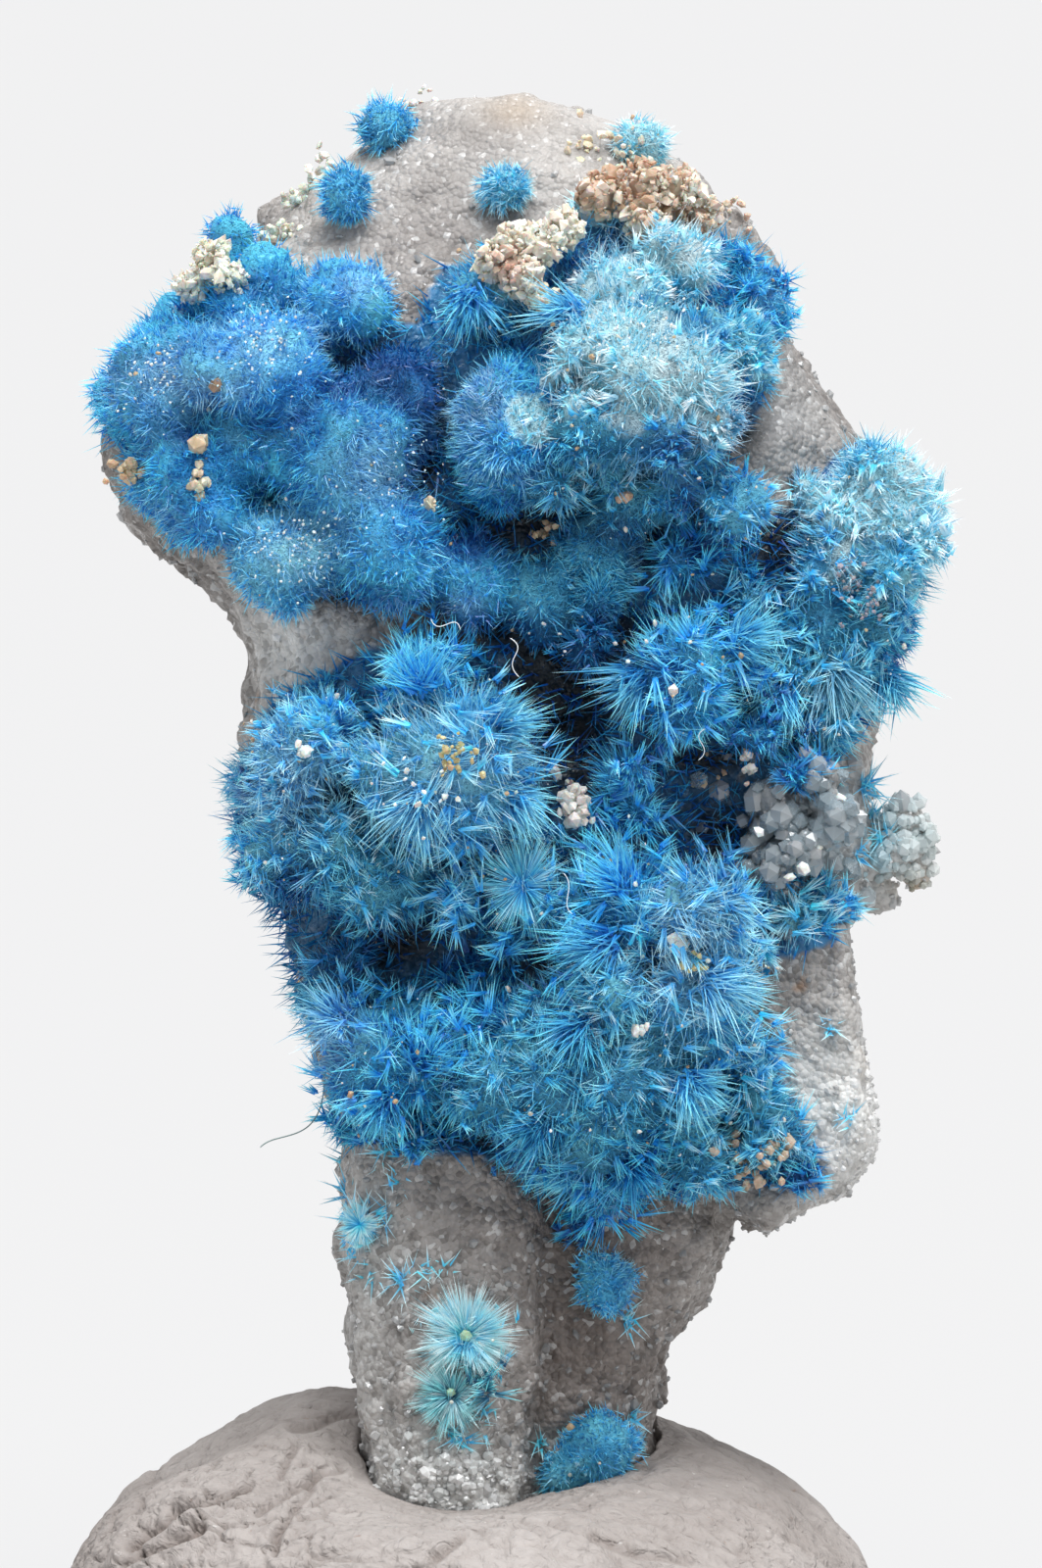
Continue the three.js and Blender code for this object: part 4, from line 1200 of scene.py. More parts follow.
COAT_DENSITY = 330  # short needles on a square millimetre, where a kind's coat is 1
COAT_WIDTH = 0.026
SWEEP_WIDTH = 0.044
BED_MARKS = [0.1, 0.4, 1]  # near the root, one chance, matted
BED_TIP = 0.8  # painted light: how light a lump's top is painted, against the needles' tips
# How far the frosted places, partly painted highlight, whiten the felted body.
BED_FROST_AND_HIGHLIGHT = 0.2
for name, (slot, total, balls) in NEEDLES.items():
    rng = np.random.default_rng(len(name) * 31 + total)
    sprays = [(spray, ball) for ball in balls for spray in sprays_of(ball, rng)]
    spheres = [(spray[0], spray[2] * KINDS[ball[4]]["bed"]) for spray, ball in sprays]
    hues = np.array([HUES[ball[5]] for ball in balls])
    coats, furs, bed_shades = (
        np.array([KINDS[ball[4]][measure] for ball in balls]) for measure in ("coat", "fur", "glow")
    )
    bed_points, bed_normals, bed_faces, lumps = bed_of(spheres, name + "_bed")
    near = nearest_of(bed_points, balls)
    # Painted shade and light: the felted body is painted darker in its pits and lighter on the tops of its
    # lumps.
    high = (0.35 + 0.5 * lumps + 0.2 * swells(bed_points, 0.9, 83)).clip(0.05, 1)[:, None]
    shade = hues[near, 0] * (1 - high) + hues[near, 1] * high * BED_TIP
    # Painted shade: the body is darkened by its kind's bed shade, as shade between the needles.
    shade = shade * bed_shades[near, None]
    # The frosted places whiten the body: partly pale frost, partly painted highlight.
    frost = BED_FROST_AND_HIGHLIGHT * spotted(bed_points, FROSTS_AND_HIGHLIGHTS)[:, None]
    shade = shade + (np.array(FROST_AND_GLINT_WHITE) - shade) * frost
    shade = dimmed(shade[:, None], bed_points)[:, 0]
    parts = [(bed_points, bed_faces, np.full((len(bed_points), 3), BED_MARKS), shade)]
    seen = bed_points[:, 1] < 1.5 if "back" not in name else bed_points[:, 1] > 1.5
    density = coats[near] * seen
    coat_count = min(int(COAT_DENSITY * BED_VOXEL**2 * density.sum()), int(0.55 * total))
    if coat_count > 0:
        roots, tips, tone = coat_lines(bed_points, bed_normals, density, furs[near], coat_count, rng)
        frost = 0.6 * swells(roots, 0.7, 84).clip(0, 1)
        tone = tone * (0.95 + 0.4 * swells(roots, 0.7, 85))
        hue = hues[nearest_of(roots, balls)]
        parts.append(spiked(roots, tips, COAT_WIDTH, hue, tone, frost, rng))
    areas = np.array([ball[3] for ball in balls]) ** 2
    for spray, ball in sprays:
        style = KINDS[ball[4]]
        count = max(8, int((total - coat_count) * ball[3] ** 2 / areas.sum() * spray[3]))
        # Painted shade: the tufts in the valleys are a little darker.
        light = rng.uniform(0.8, 1.2) * (1 if ball in every_ball else VALLEY_LIGHT)
        ball_axis = outward(ball[:3])
        frost = 0.2 * rng.uniform(0, 1) ** 2
        for lines, share in ((lock_lines, 1 - style["thatch"]), (sheaf_lines, style["thatch"])):
            roots, tips, tone = lines(spray, style, int(count * share), rng)
            kept = clear_of(tips, ball)
            # Painted shade and light: needles whose tips lie low on their ball are darker, and those near
            # its top lighter.
            rise = (tips - ball[:3]) @ ball_axis / ball[3]
            tone = tone * (0.74 + 0.78 * (rise / 0.75 / style["dome"]).clip(0, 1))
            if kept.any():
                roots, tips, tone = roots[kept], tips[kept], light * tone[kept]
                parts.append(spiked(roots, tips, style["width"], HUES[ball[5]], tone, frost, rng))
    for column, row, deep, lean, reach, spread, count, hue, mass in SWEEPS:
        if mass == name:
            fan_across, fan_up = seen_at(column, row)
            axis = unit(np.array(lean))
            ways = scattered(axis, (0, spread), count, rng)
            locks = scattered(axis, (0, spread), spread, rng)
            nearest = (ways @ locks.T).argmax(axis=1)
            aim = unit(0.5 * ways + 0.5 * locks[nearest] + 0.05 * rng.normal(size=ways.shape))
            lengths = reach * rng.uniform(0.45, 1.0, len(locks))[nearest] * rng.uniform(0.6, 1, count)
            middle = np.array([fan_across, deep, fan_up]) + 0.09 * rng.normal(size=(count, 3))
            tips = middle + aim * lengths[:, None]
            tone = rng.uniform(0.75, 1.3, len(locks))[nearest]
            roots = middle + 0.1 * reach * ways
            parts.append(spiked(roots, tips, SWEEP_WIDTH, HUES[hue], tone, 0.1, rng))
    points, faces, marks, hues = joined(parts)
    smooth = np.arange(len(faces)) < len(bed_faces)
    piece = placed(
        mesh_of(name + "_needles", leaned(points), faces, smooth, needle=marks, hue=hues.clip(0, 1)),
        needle_finish,
    )
    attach(piece, "root")
    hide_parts(name)

# Felt between the balls
# Short azure needles that cover the stone between the balls, and small open sprigs on the foot and
# the flange. They grew straight out of the stone.

FELT_COUNT = 12000
FELT_WIDTH = 0.04
SPRIG_WIDTH = 0.045
place_normals = upright(stone_normals * MM)
SPRIGS = [
    # column and row of the photograph, needles, length
    (372, 1240, 14, 0.50), (345, 1222, 10, 0.42), (368, 1274, 16, 0.40), (398, 1236, 12, 0.42),
    (350, 1186, 9, 0.40), (392, 1182, 9, 0.36), (428, 1172, 9, 0.42), (378, 1300, 9, 0.34),
    (412, 1306, 13, 0.42), (436, 1300, 9, 0.36), (452, 1290, 8, 0.30), (405, 1206, 8, 0.30),
    (620, 1330, 12, 0.32), (640, 1345, 12, 0.30), (603, 1300, 9, 0.28), (560, 1518, 12, 0.3),
    (552, 1478, 8, 0.26), (645, 1450, 10, 0.26), (862, 1140, 7, 0.35), (850, 1050, 8, 0.35),
    (884, 805, 16, 0.5), (893, 835, 16, 0.45), (905, 858, 18, 0.42), (878, 870, 10, 0.35),
    (775, 935, 14, 0.5), (800, 925, 14, 0.45), (830, 940, 12, 0.45), (850, 915, 10, 0.4),
    (470, 1470, 12, 0.32), (492, 1440, 9, 0.3), (540, 1200, 12, 0.5), (655, 1210, 12, 0.5),
]
rng = np.random.default_rng(77)
open_stone = covered * (gap_to_balls(0.8) > 0) * (1 - 0.6 * dark)
chosen = rng.choice(len(stone_places), FELT_COUNT, p=open_stone / open_stone.sum())
grown = unit(place_normals[chosen] + 0.6 * rng.normal(size=(FELT_COUNT, 3)))
roots = stone_places[chosen] + 0.04 * rng.normal(size=grown.shape)
tips = roots + grown * rng.uniform(0.2, 0.6, (FELT_COUNT, 1))
tone = rng.uniform(0.6, 1.1, FELT_COUNT)
parts = [spiked(roots, tips, FELT_WIDTH, HUES["azure"], tone, 0.0, rng)]


def surface_at(column, row):
    """The number of the stone's point that shows at a pixel of the photograph."""
    off = stone_places[:, [0, 2]] - seen_at(column, row)
    return (np.hypot(*off.T) + 0.02 * stone_places[:, 1] + FAR_AWAY * (facing < 0.15)).argmin()


# Each sprig is grown twice over, so that it is dense enough.
for column, row, count, length in SPRIGS * 2:
    root = surface_at(column, row)
    axis = unit(place_normals[root] + [0, -0.3, 0])
    aim = scattered(axis, (10, 85), count, rng)
    roots = stone_places[root] + 0.06 * rng.normal(size=(count, 3))
    tips = roots + aim * 1.25 * length * rng.uniform(0.5, 1.1, (count, 1))
    hue = HUES[["sky", "cyan", "icy"][rng.integers(3)]]
    parts.append(spiked(roots, tips, SPRIG_WIDTH, hue, rng.uniform(1.4, 2.2, count), 0.35, rng))
felt_points, felt_faces, marks, hues = joined(parts)
felt = placed(
    mesh_of("felt_needles", leaned(felt_points), felt_faces, needle=marks, hue=hues.clip(0, 1)),
    needle_finish,
)
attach(felt, "root")

# Crusts
# Lumps of small rough grains, cream, white and reddish brown, grown on the crown of the stone.

CRUSTS = {
    # slot, colour, share of white, and lumps: middle and radius
    "crust_cream": ("cream_crust", (0.84, 0.74, 0.60), 0.65, [
        (0.1, -2.0, 22.85, 0.36),
        (0.5, -2.15, 22.6, 0.36),
        (0.35, -1.9, 23.15, 0.34),
        (0.8, -1.8, 23.1, 0.38),
        (1.15, -1.5, 23.4, 0.34),
        (0.75, -2.1, 22.3, 0.25),
    ]),
    "crust_brown": ("brown_crust", (0.58, 0.42, 0.31), 0.30, [
        (1.7, -0.9, 23.9, 0.42),
        (2.3, -0.8, 24.05, 0.45),
        (2.85, -0.5, 24.0, 0.42),
        (3.2, -0.3, 23.6, 0.4),
        (2.4, -1.0, 23.5, 0.4),
    ]),
    "crust_left": ("cream_crust", (0.74, 0.74, 0.60), 0.50, [
        (-4.3, -0.6, 22.9, 0.36),
        (-4.0, -0.8, 22.6, 0.3),
        (-4.6, -0.5, 22.5, 0.28),
    ]),
}
CRUST_GRAINS = 150
CRUST_GRAIN_RADIUS = 0.040
CRUST_WHITE = np.array([0.92, 0.88, 0.82])
CRUST_RED = np.array([0.46, 0.22, 0.15])
RED_MIDDLE, RED_REACH = [0.3, -2.2, 22.75], [0.28, 1.0, 0.28]
CRUST_SPECK = (0.75, 0.70, 0.62)
crust_finish, crust_in, start = principled(
    "crust_grain", roughness=0.4, subsurface_weight=0.35, subsurface_scale=0.0002
)
grain_colour = start.add("VertexColor", {"layer_name": "grain"})
place = start.add("TexCoord", out=3)
speck = start.add("TexNoise", values={"Vector": place, "Scale": 9000.0, "Detail": 2.0})
body = (1 - speck.step(0.3, 0.75)).mix(grain_colour, CRUST_SPECK, "MULTIPLY")
body.feed(crust_in["Base Color"])
for name, (slot, shade, whiteness, lumps) in CRUSTS.items():
    rng = np.random.default_rng(len(name) * 7)
    centres, radii = [], []
    for *centre, radius in lumps:
        ways = unit(rng.normal(size=(CRUST_GRAINS, 3)))
        around = ways * radius * rng.uniform(0.55, 0.95, (CRUST_GRAINS, 1))
        centres += [np.array([centre]), np.array(centre) + around]
        sizes = CRUST_GRAIN_RADIUS * rng.lognormal(0, 0.6, CRUST_GRAINS).clip(0.4, 2.6)
        radii += [[0.55 * radius], sizes]
    centres, radii = np.concatenate(centres), np.concatenate(radii)
    crust_points, crust_faces = tumbled(centres, radii, rng, rough=0.5, stretch=0.45)
    tone = np.array(shade) * rng.uniform(0.85, 1.25, (len(centres), 1))
    white = whiteness + 0.8 * swells(centres, 0.45, 97) + 0.5 * rng.uniform(-1, 1, len(centres))
    tone = tone + (CRUST_WHITE - tone) * white.clip(0, 1)[:, None]
    red = spot(centres, RED_MIDDLE, RED_REACH)[:, None]
    tone = (tone * (1 - 0.75 * red) + 0.75 * red * CRUST_RED).repeat(12, axis=0)
    crust_piece = placed(
        mesh_of(name + "_grains", leaned(crust_points), crust_faces, grain=tone), crust_finish
    )
    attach(crust_piece, "root")
    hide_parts(name)

# Loose grains
# White sugary clusters, tan and white specks of rock dust that have fallen among the needles, and
# two small green globules that grew in the foot's bursts.

SPECKS = 1000
SPECK_RADIUS = 0.017
TAN_SPECK, WHITE_SPECK = [0.62, 0.47, 0.30], [0.86, 0.86, 0.84]
CLUSTERS = [
    # column and row of the photograph, spread, grains, grain radius, colour
    (570, 790, 0.16, 14, 0.08, (0.72, 0.66, 0.64)),
    (590, 825, 0.26, 26, 0.10, (0.80, 0.74, 0.72)),
    (690, 960, 0.05, 3, 0.10, (0.95, 0.95, 0.93)),
    (650, 1050, 0.08, 4, 0.08, (0.92, 0.92, 0.90)),
    (440, 515, 0.10, 6, 0.08, (0.72, 0.62, 0.48)),
    (205, 455, 0.07, 3, 0.12, (0.62, 0.50, 0.36)),
    (205, 490, 0.18, 12, 0.08, (0.74, 0.64, 0.50)),
    (635, 510, 0.06, 3, 0.10, (0.55, 0.38, 0.28)),
    (222, 392, 0.06, 3, 0.09, (0.40, 0.28, 0.20)),
    (770, 1180, 0.42, 46, 0.08, (0.55, 0.45, 0.36)),
    (460, 770, 0.26, 30, 0.05, (0.62, 0.56, 0.30)),
    (130, 480, 0.20, 14, 0.08, (0.66, 0.50, 0.34)),
    (330, 172, 0.26, 26, 0.07, (0.86, 0.88, 0.82)),
    (305, 200, 0.26, 26, 0.07, (0.80, 0.84, 0.76)),
    (285, 238, 0.26, 22, 0.07, (0.80, 0.82, 0.70)),
    (262, 262, 0.26, 20, 0.06, (0.78, 0.80, 0.70)),
    (425, 98, 0.26, 16, 0.06, (0.84, 0.84, 0.82)),
    (640, 160, 0.42, 46, 0.06, (0.88, 0.86, 0.76)),
    (590, 150, 0.34, 24, 0.06, (0.84, 0.76, 0.60)),
    (300, 300, 0.22, 16, 0.05, (0.86, 0.82, 0.66)),
    (745, 215, 0.28, 22, 0.06, (0.70, 0.58, 0.48)),
    (820, 868, 0.40, 10, 0.07, (0.94, 0.95, 0.95)),
    (855, 825, 0.14, 4, 0.09, (0.90, 0.93, 0.95)),
    (765, 785, 0.14, 9, 0.07, (0.66, 0.60, 0.58)),
    (880, 605, 0.34, 60, 0.035, (0.36, 0.38, 0.46)),
    (560, 545, 0.24, 14, 0.05, (0.60, 0.46, 0.32)),
    (730, 790, 0.36, 24, 0.05, (0.58, 0.42, 0.30)),
    (430, 800, 0.5, 20, 0.04, (0.88, 0.92, 0.94)),
    (310, 765, 0.10, 6, 0.07, (0.86, 0.88, 0.88)),
    (705, 985, 0.16, 10, 0.05, (0.70, 0.62, 0.34)),
    (268, 355, 0.60, 120, 0.021, (0.80, 0.89, 0.95)),
    (170, 390, 0.50, 80, 0.021, (0.80, 0.89, 0.93)),
    (302, 560, 0.60, 120, 0.021, (0.78, 0.87, 0.93)),
    (390, 490, 0.75, 80, 0.018, (0.74, 0.85, 0.93)),
    (650, 340, 0.55, 80, 0.023, (0.92, 0.96, 0.98)),
]
GLOBULE_PLACES = np.array([(-0.37, -2.42, 6.42), (-0.60, -2.35, 5.55)])
GLOBULE_RADII = [0.10, 0.075]
GLOBULE_GREEN = [0.42, 0.66, 0.50]


def front_of(across, up):
    """How near the camera the needle balls or the stone come at this place, as a depth."""
    stone_front = stone_places[surface_at(AXIS_PIXEL + across / PIXEL, GROUND_PIXEL - up / PIXEL), 1]
    off = (ball_places[:, 0] - across) ** 2 + (ball_places[:, 2] - up) ** 2
    here = off < ball_radii**2
    fronts = ball_places[here, 1] - 0.85 * np.sqrt(ball_radii[here] ** 2 - off[here])
    return min([*fronts, stone_front])


rng = np.random.default_rng(5)
centres, radii, tones = [], [], []
for column, row, spread, count, radius, shade in CLUSTERS:
    middle_across, middle_up = seen_at(column, row)
    middle = np.array([middle_across, front_of(middle_across, middle_up), middle_up])
    centres.append(middle + spread * rng.normal(size=(count, 3)) * [1, 0.5, 1] * 0.6)
    radii.append(radius * rng.uniform(0.6, 1.3, count))
    tones.append(np.array(shade) * rng.uniform(0.8, 1.15, (count, 1)))
which = rng.choice(len(every_ball), SPECKS, p=ball_radii**2 / np.sum(ball_radii**2))
ways = np.concatenate([scattered(outward(ball_places[n]), (0, 90), 1, rng) for n in which])
centres.append(ball_places[which] + ways * ball_radii[which, None] * rng.uniform(0.72, 0.95, (SPECKS, 1)))
radii.append(SPECK_RADIUS * rng.lognormal(0, 0.55, SPECKS))
shades = np.where(rng.uniform(size=(SPECKS, 1)) > 0.6, TAN_SPECK, WHITE_SPECK)
tones.append(shades * rng.uniform(0.7, 1.1, (SPECKS, 1)))
centres, radii, tones = np.concatenate(centres), np.concatenate(radii), np.concatenate(tones)
dust_points, dust_faces = tumbled(centres, radii, rng, rough=0.3)
round_points, round_faces = tumbled(GLOBULE_PLACES, GLOBULE_RADII, rng, 0.05, 0.05)
dust_faces = np.r_[dust_faces, round_faces + len(dust_points)]
dust_points = np.r_[dust_points, round_points]
tones = np.r_[tones, [GLOBULE_GREEN] * len(GLOBULE_RADII)].repeat(12, axis=0)
dust = placed(mesh_of("loose_grains", leaned(dust_points), dust_faces, grain=tones), crust_finish)
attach(dust, "root")

# Dust fibres
# A long grey-green one that hangs out at the left, and short white ones caught in the needles.

FIBRE_RINGS = 40
FIBRE_SIDES = 5
FIBRES = [
    # thickness, colour, depth at each end, and columns and rows of the photograph along it
    (0.022, (0.20, 0.27, 0.26), (-1.6, -2.2),
     [(330, 1090), (325, 1132), (305, 1160), (284, 1158), (265, 1172)]),
    (0.016, (0.86, 0.90, 0.92), (-4.3, -4.2), [(520, 652), (528, 664), (523, 676), (530, 692)]),
    (0.014, (0.70, 0.80, 0.86), (-4.0, -3.9), [(718, 744), (712, 754), (717, 764), (711, 776)]),
    (0.014, (0.80, 0.90, 0.94), (-3.9, -3.9), [(574, 890), (580, 905), (578, 920), (584, 932)]),
    (0.014, (0.84, 0.90, 0.92), (-3.6, -3.6), [(440, 632), (450, 640), (462, 636), (470, 644)]),
]
fibre_finish, fibre_in, start = principled("dust_fibre", roughness=0.6)
start.add("VertexColor", {"layer_name": "fibre"}).feed(fibre_in["Base Color"])
t = np.linspace(0, 1, FIBRE_RINGS)
points, faces, colours = [], [], []
# Each is a tube along a smooth curve through its places, closed to a point at both ends.
for thick, shade, (near_end, far_end), pixels in FIBRES:
    knots = np.array([seen_at(*pixel) for pixel in pixels])
    at = np.linspace(0, 1, len(knots))
    line = np.stack([np.polyval(np.polyfit(at, knots[:, n], 3), t) for n in (0, 1)], axis=-1)
    line = np.stack([line[:, 0], near_end + (far_end - near_end) * t, line[:, 1]], axis=-1)
    way = unit(np.gradient(line, axis=0))
    side = unit(np.cross(way, [0, 1.0, 0]))
    ring = rings_of(side, np.cross(way, side), FIBRE_SIDES)
    thickness = thick / 2 * np.where((t == 0) | (t == 1), 0.02, 1)[:, None, None]
    tube = (line[:, None] + ring * thickness).reshape(-1, 3)
    ends = np.array([(0, n, n + 1) for n in range(1, FIBRE_SIDES - 1)])
    ends = np.r_[ends[:, ::-1], ends + len(tube) - FIBRE_SIDES]
    shell = np.r_[grid_faces(FIBRE_RINGS, FIBRE_SIDES, closed=True), ends]
    faces.append(shell + sum(len(part) for part in points))
    points.append(tube)
    colours.append(np.tile(shade, (len(tube), 1)))
points, faces, colours = (np.concatenate(rows) for rows in (points, faces, colours))
fibres = placed(mesh_of("dust_fibres", leaned(points), faces, True, fibre=colours), fibre_finish)
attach(fibres, "root")

# The putty
# A lump of warm grey putty, rolled and pressed by hand: the stone's foot is pushed into it, which
# left a lip round the foot, and folding has left creases. It rests on its own flat underside.

PUTTY_HALF_WIDTH = 6.6
PUTTY_HALF_DEPTH = 6.1
PUTTY_HEIGHT = 5.3
PUTTY_WIDEST = 1.7
PUTTY_FORMS = [
    # swells and dents: across, back, height change, spread
    (-0.4, -0.6, -1.25, 2.3),
    (1.6, 0.6, -0.5, 1.5),
    (-2.5, 1.6, 0.18, 1.25),
    (-4.4, 1.2, -0.48, 1.35),
    (4.3, -1.5, -0.3, 2.0),
    (6.6, 0.6, -0.75, 2.2),
]
PUTTY_SHIFT = 0.35  # everything above the widest level stands this far left of the underside
FOOT_CENTRE = np.array([0.3, 0.6])
SOCKET_BOTTOM = 2.0
SOCKET_GAP = 0.06
LIP_TOP = 5.4
LIP_LEVELS = 35
BINS = 140  # directions in which the foot's reach is measured
AROUND = 560  # points in a ring of the surface
PUTTY_DARK, PUTTY_LIGHT = (0.315, 0.281, 0.262), (0.415, 0.378, 0.357)
PUTTY_PAINTED_SHADE = (0.13, 0.10, 0.085)
DARK_FLECK, PALE_FLECK = (0.30, 0.24, 0.21), (0.55, 0.52, 0.50)


def forms_at(x, y):
    """The height that the swells and dents add, each a bell round its middle."""
    z = 0.0
    for across, back, change, spread in PUTTY_FORMS:
        z = z + change * np.exp(-((x - across) ** 2 + (y - back) ** 2) / spread**2)
    return z


def putty_top(x, y):
    """The lump's height: a quarter of a superellipse over its widest level, and its forms."""
    share = np.hypot(x / PUTTY_HALF_WIDTH, y / PUTTY_HALF_DEPTH).clip(0, 1)
    rise = np.sqrt(1 - share ** (2 / 0.85)) ** 0.95
    return PUTTY_WIDEST + (PUTTY_HEIGHT - PUTTY_WIDEST) * rise + forms_at(x, y)


turn = np.arange(AROUND) * 2 * math.pi / AROUND
ray = np.stack([np.cos(turn), np.sin(turn)], axis=-1)
# How far the stone's foot reaches from its centre, at each level and in each direction.
levels = np.linspace(SOCKET_BOTTOM, LIP_TOP, LIP_LEVELS)
off = stone_points[:, :2] - FOOT_CENTRE
around = (np.arctan2(off[:, 1], off[:, 0]) / (2 * math.pi) * BINS).astype(int) % BINS
foot_reach = np.zeros((len(levels), BINS))
for near_level, level in zip(foot_reach, levels):
    low = np.abs(stone_points[:, 2] - level) < 0.15
    np.maximum.at(near_level, around[low], np.hypot(*off[low].T))
shifts = [np.roll(foot_reach, n, axis=1) for n in (-2, -1, 0, 1, 2)]
foot_reach = np.mean([np.maximum(shifts[n], shifts[n + 1]) for n in range(4)], axis=0)
bin_angle = np.arange(BINS + 1) * 2 * math.pi / BINS
foot_reach = np.array([np.interp(turn, bin_angle, np.r_[row, row[0]]) for row in foot_reach])

# The lip is where the foot's outline at the lump's own height meets the lump's top.
height = np.full(AROUND, 4.4)
for _ in range(4):
    nearest = np.abs(levels[:, None] - height).argmin(axis=0)
    lip = foot_reach[nearest, np.arange(AROUND)] + SOCKET_GAP
    lip_place = FOOT_CENTRE + lip[:, None] * ray
    height = putty_top(*lip_place.T)

# The brim is where each ray from the foot's centre meets the widest ellipse, by the quadratic.
halves = np.array([PUTTY_HALF_WIDTH, PUTTY_HALF_DEPTH])
a = np.sum((ray / halves) ** 2, axis=-1)
b = np.sum(ray * FOOT_CENTRE / halves**2, axis=-1)
c = np.sum((FOOT_CENTRE / halves) ** 2) - 1
brim = (-b + np.sqrt(b * b - a * c)) / a

# Rings of points from the socket's floor up its wall, over the top, down the side and under.
rows = []
for share in np.linspace(0.15, 1, 5):
    rows.append((share * (foot_reach[0] + SOCKET_GAP), np.full(AROUND, SOCKET_BOTTOM)))
for share in np.linspace(0.1, 0.95, 9):
    z = SOCKET_BOTTOM + share * (height - SOCKET_BOTTOM)
    nearest = np.abs(levels[:, None] - z).argmin(axis=0)
    rows.append((foot_reach[nearest, np.arange(AROUND)] + SOCKET_GAP, z))
for share in np.sin(np.linspace(0, math.pi / 2, 120)):
    out = lip + (brim - lip) * share
    where = FOOT_CENTRE + out[:, None] * ray
    rows.append((out, putty_top(*where.T)))
brim_place = FOOT_CENTRE + brim[:, None] * ray
brim_height = PUTTY_WIDEST + forms_at(*brim_place.T)
for fall in np.linspace(0, 1, 18)[1:]:
    tuck = 1 - 0.1 * fall**2.2
    rows.append((brim * tuck, brim_height * (1 - fall)))
for share in np.linspace(0.85, 0.1, 5):
    rows.append((brim * 0.9 * share, np.zeros(AROUND)))
out = np.array([row[0] for row in rows])
z = np.array([row[1] for row in rows])
surface = np.concatenate([FOOT_CENTRE + out[..., None] * ray, z[..., None]], axis=-1)
clear_of_lip = ((out - lip) / 2.0).clip(0, 1)
surface[..., 0] -= PUTTY_SHIFT * (z / PUTTY_WIDEST).clip(0, 1) * clear_of_lip
ends = [[*FOOT_CENTRE, SOCKET_BOTTOM]], [[*FOOT_CENTRE, 0.0]]
putty_points = np.r_[ends[0], surface.reshape(-1, 3), ends[1]]
sides = grid_faces(len(rows), AROUND, closed=True)[:, ::-1] + 1
n = np.arange(AROUND)
last = 1 + (len(rows) - 1) * AROUND
middle = np.stack([0 * n, 1 + n, 1 + (n + 1) % AROUND], -1)
under = np.stack([0 * n + len(putty_points) - 1, last + (n + 1) % AROUND, last + n], -1)
putty_faces = np.r_[sides, middle, under]
putty_mesh = mesh_of("putty_lump", putty_points, putty_faces, True)
normals = np.empty(len(putty_points) * 3, np.float32)
putty_mesh.vertex_normals.foreach_get("vector", normals)
normals = normals.reshape(-1, 3).astype(float)

# Hand-pressed swells, fold lines, fine wrinkles and pits, all fading out at the lip and at the
# underside.
lip_distance = np.r_[0, (out - lip).ravel(), 9.0]
fade = (lip_distance / 0.9).clip(0, 1) * (putty_points[:, 2] / PUTTY_WIDEST).clip(0, 1)
press = 0.3 * swells(putty_points, 2.6, 41) + 0.1 * swells(putty_points, 1.1, 42)
soft_fade = (lip_distance / 0.25).clip(0, 1) * (putty_points[:, 2] / 0.5).clip(0, 1)
skewed = putty_points @ np.array([[0.9, 0.5, 0], [-0.4, 1.3, 0], [0, 0.3, 1.4]])
patchy = swells(putty_points, 1.2, 61).clip(0, 0.5)
crease = -0.14 * np.exp(-np.abs(swells(skewed, 1.5, 60)) / 0.06) * patchy
crease += -0.035 * np.exp(-np.abs(swells(skewed, 0.55, 62)) / 0.09)
bent = skewed + 0.25 * np.stack([swells(putty_points, 0.6, 65 + n) for n in range(3)], axis=-1)
for size, deep, wide in ((1.1, 0.10, 0.035), (0.42, 0.045, 0.05)):
    first, second = grains_at(bent, size, 66)[:2]
    rough_place = 0.42 + 0.7 * swells(putty_points, 1.3, 68).clip(0, 1)
    rough_place += 0.6 * ((-2.2 - putty_points[:, 0]) / 1.5).clip(0, 1)
    rough_place *= 1 - 0.75 * ((putty_points[:, 1] + 1.0) / 2).clip(0, 1)
    crease -= deep * np.exp(-(((second - first) / wide) ** 2)) * rough_place
pits = 0.022 * swells(putty_points, 0.2, 63) + 0.025 * swells(putty_points, 0.45, 64)
lift = press * fade + (crease + pits) * soft_fade
putty_points = putty_points + normals * lift[:, None]

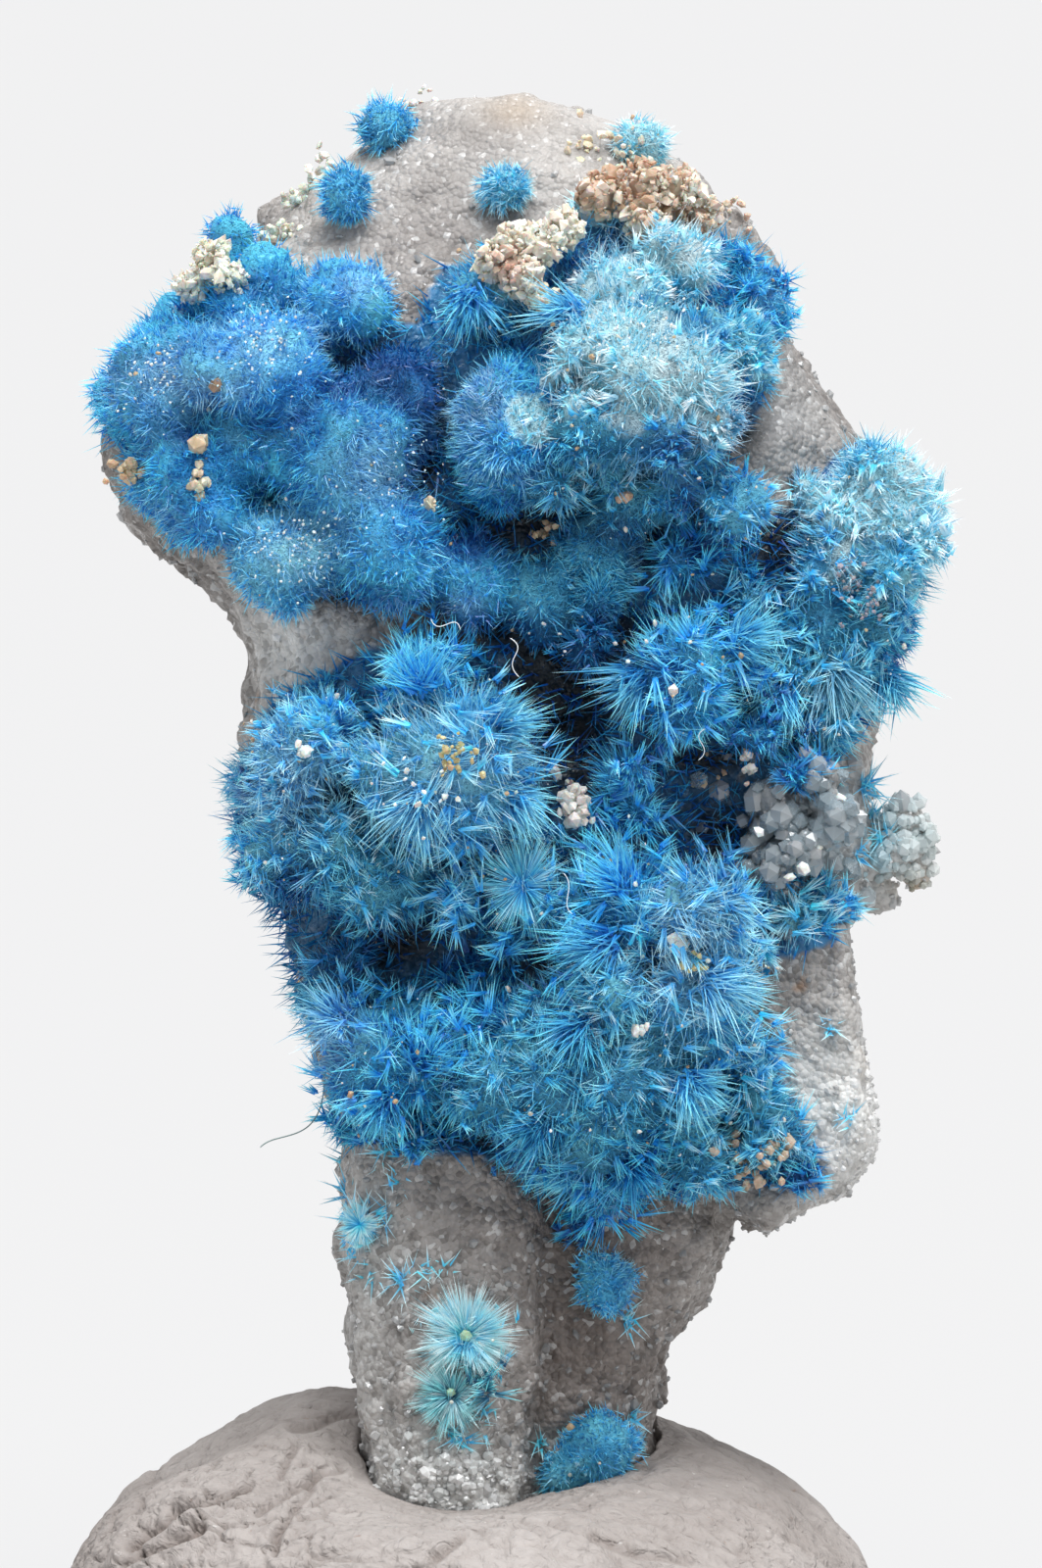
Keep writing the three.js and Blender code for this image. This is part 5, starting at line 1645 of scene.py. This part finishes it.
FOLDS = [
    # long fold lines seen from the front: two ends in the photograph, depth, width
    ((135, 1573), (185, 1540), 0.26, 0.10),
    ((180, 1545), (250, 1512), 0.30, 0.08),
    ((130, 1590), (205, 1560), 0.22, 0.08),
    ((285, 1505), (300, 1480), 0.18, 0.06),
    ((280, 1575), (330, 1500), 0.16, 0.06),
    ((262, 1540), (345, 1500), 0.14, 0.06),
    ((300, 1456), (372, 1446), 0.14, 0.07),
    ((430, 1590), (470, 1560), 0.12, 0.06),
    ((600, 1560), (700, 1590), 0.08, 0.06),
    ((420, 1590), (520, 1600), 0.10, 0.07),
]
seen = upright(putty_points * MM)
front_share = facing_camera(normals).clip(0, 1) ** 0.5
# Painted shade: the creases and fold grooves are painted darker, as the shade in them.
crease_shade = -0.5 * crease * soft_fade
for (column, row), (end_column, end_row), deep, wide in FOLDS:
    head, tail = np.array(seen_at(column, row)), np.array(seen_at(end_column, end_row))
    flat = seen[:, [0, 2]]
    flat = flat + 0.12 * np.stack([swells(seen, 0.7, 71), swells(seen, 0.7, 72)], axis=-1)
    line = tail - head
    t = ((flat - head) @ line / (line @ line)).clip(0, 1)
    off = np.linalg.norm(flat - head - t[:, None] * line, axis=-1)
    bank = 0.35 * deep * np.exp(-(((off - 2.2 * wide) / wide) ** 2))
    groove = bank - deep * np.exp(-((off / wide) ** 2))
    putty_points += normals * (groove * front_share * soft_fade)[:, None]
    crease_shade -= 0.8 * groove * front_share
putty_mesh.vertices.foreach_set("co", (putty_points * MM).astype(np.float32).ravel())
putty_mesh.update()
# Painted shade: darker at the far left of the lump and in the creases and folds.
painted_shade = 0.2 * np.exp(-np.maximum(putty_points[:, 0] + 6.0, 0) / 1.0) + 6 * np.maximum(crease_shade, 0)
paint(putty_mesh, "painted_shade", np.stack([painted_shade.clip(0, 0.8)] * 3, axis=-1))
putty_finish, putty_in, start = principled("grey_putty", roughness=0.72, specular_ior_level=0.35)
place = start.add("TexCoord", out=3)
cloud = start.add("TexNoise", values={"Vector": place, "Scale": 350.0, "Detail": 6.0, "Roughness": 0.6})
fleck = start.add("TexNoise", values={"Vector": place, "Scale": 6000.0, "Detail": 3.0})
body = cloud.step(0.3, 0.7).mix(PUTTY_DARK, PUTTY_LIGHT)
# Painted shade on the putty: its creases, folds and far left are darkened.
body = start.channels("painted_shade")[0].mix(body, PUTTY_PAINTED_SHADE)
body = fleck.step(0.30, 0.24).mix(body, DARK_FLECK)
body = fleck.step(0.70, 0.78).mix(body, PALE_FLECK)
body.feed(putty_in["Base Color"])
(fleck * 0.2 + 0.6).feed(putty_in["Roughness"])
wrinkle = start.add("TexNoise", values={"Vector": place, "Scale": 3200.0, "Detail": 6.0, "Distortion": 1.2})
bump = start.add("Bump", values={"Strength": 1.0, "Distance": 0.00014, "Height": wrinkle})
bump.feed(putty_in["Normal"])
putty = placed(putty_mesh, putty_finish)
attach(putty, "root")
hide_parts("putty")

# The size of the dressed part against the solids', and the end.

sizes = {"cad": [list(corner) for corner in cad_box], "visual": [list(corner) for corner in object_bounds()]}
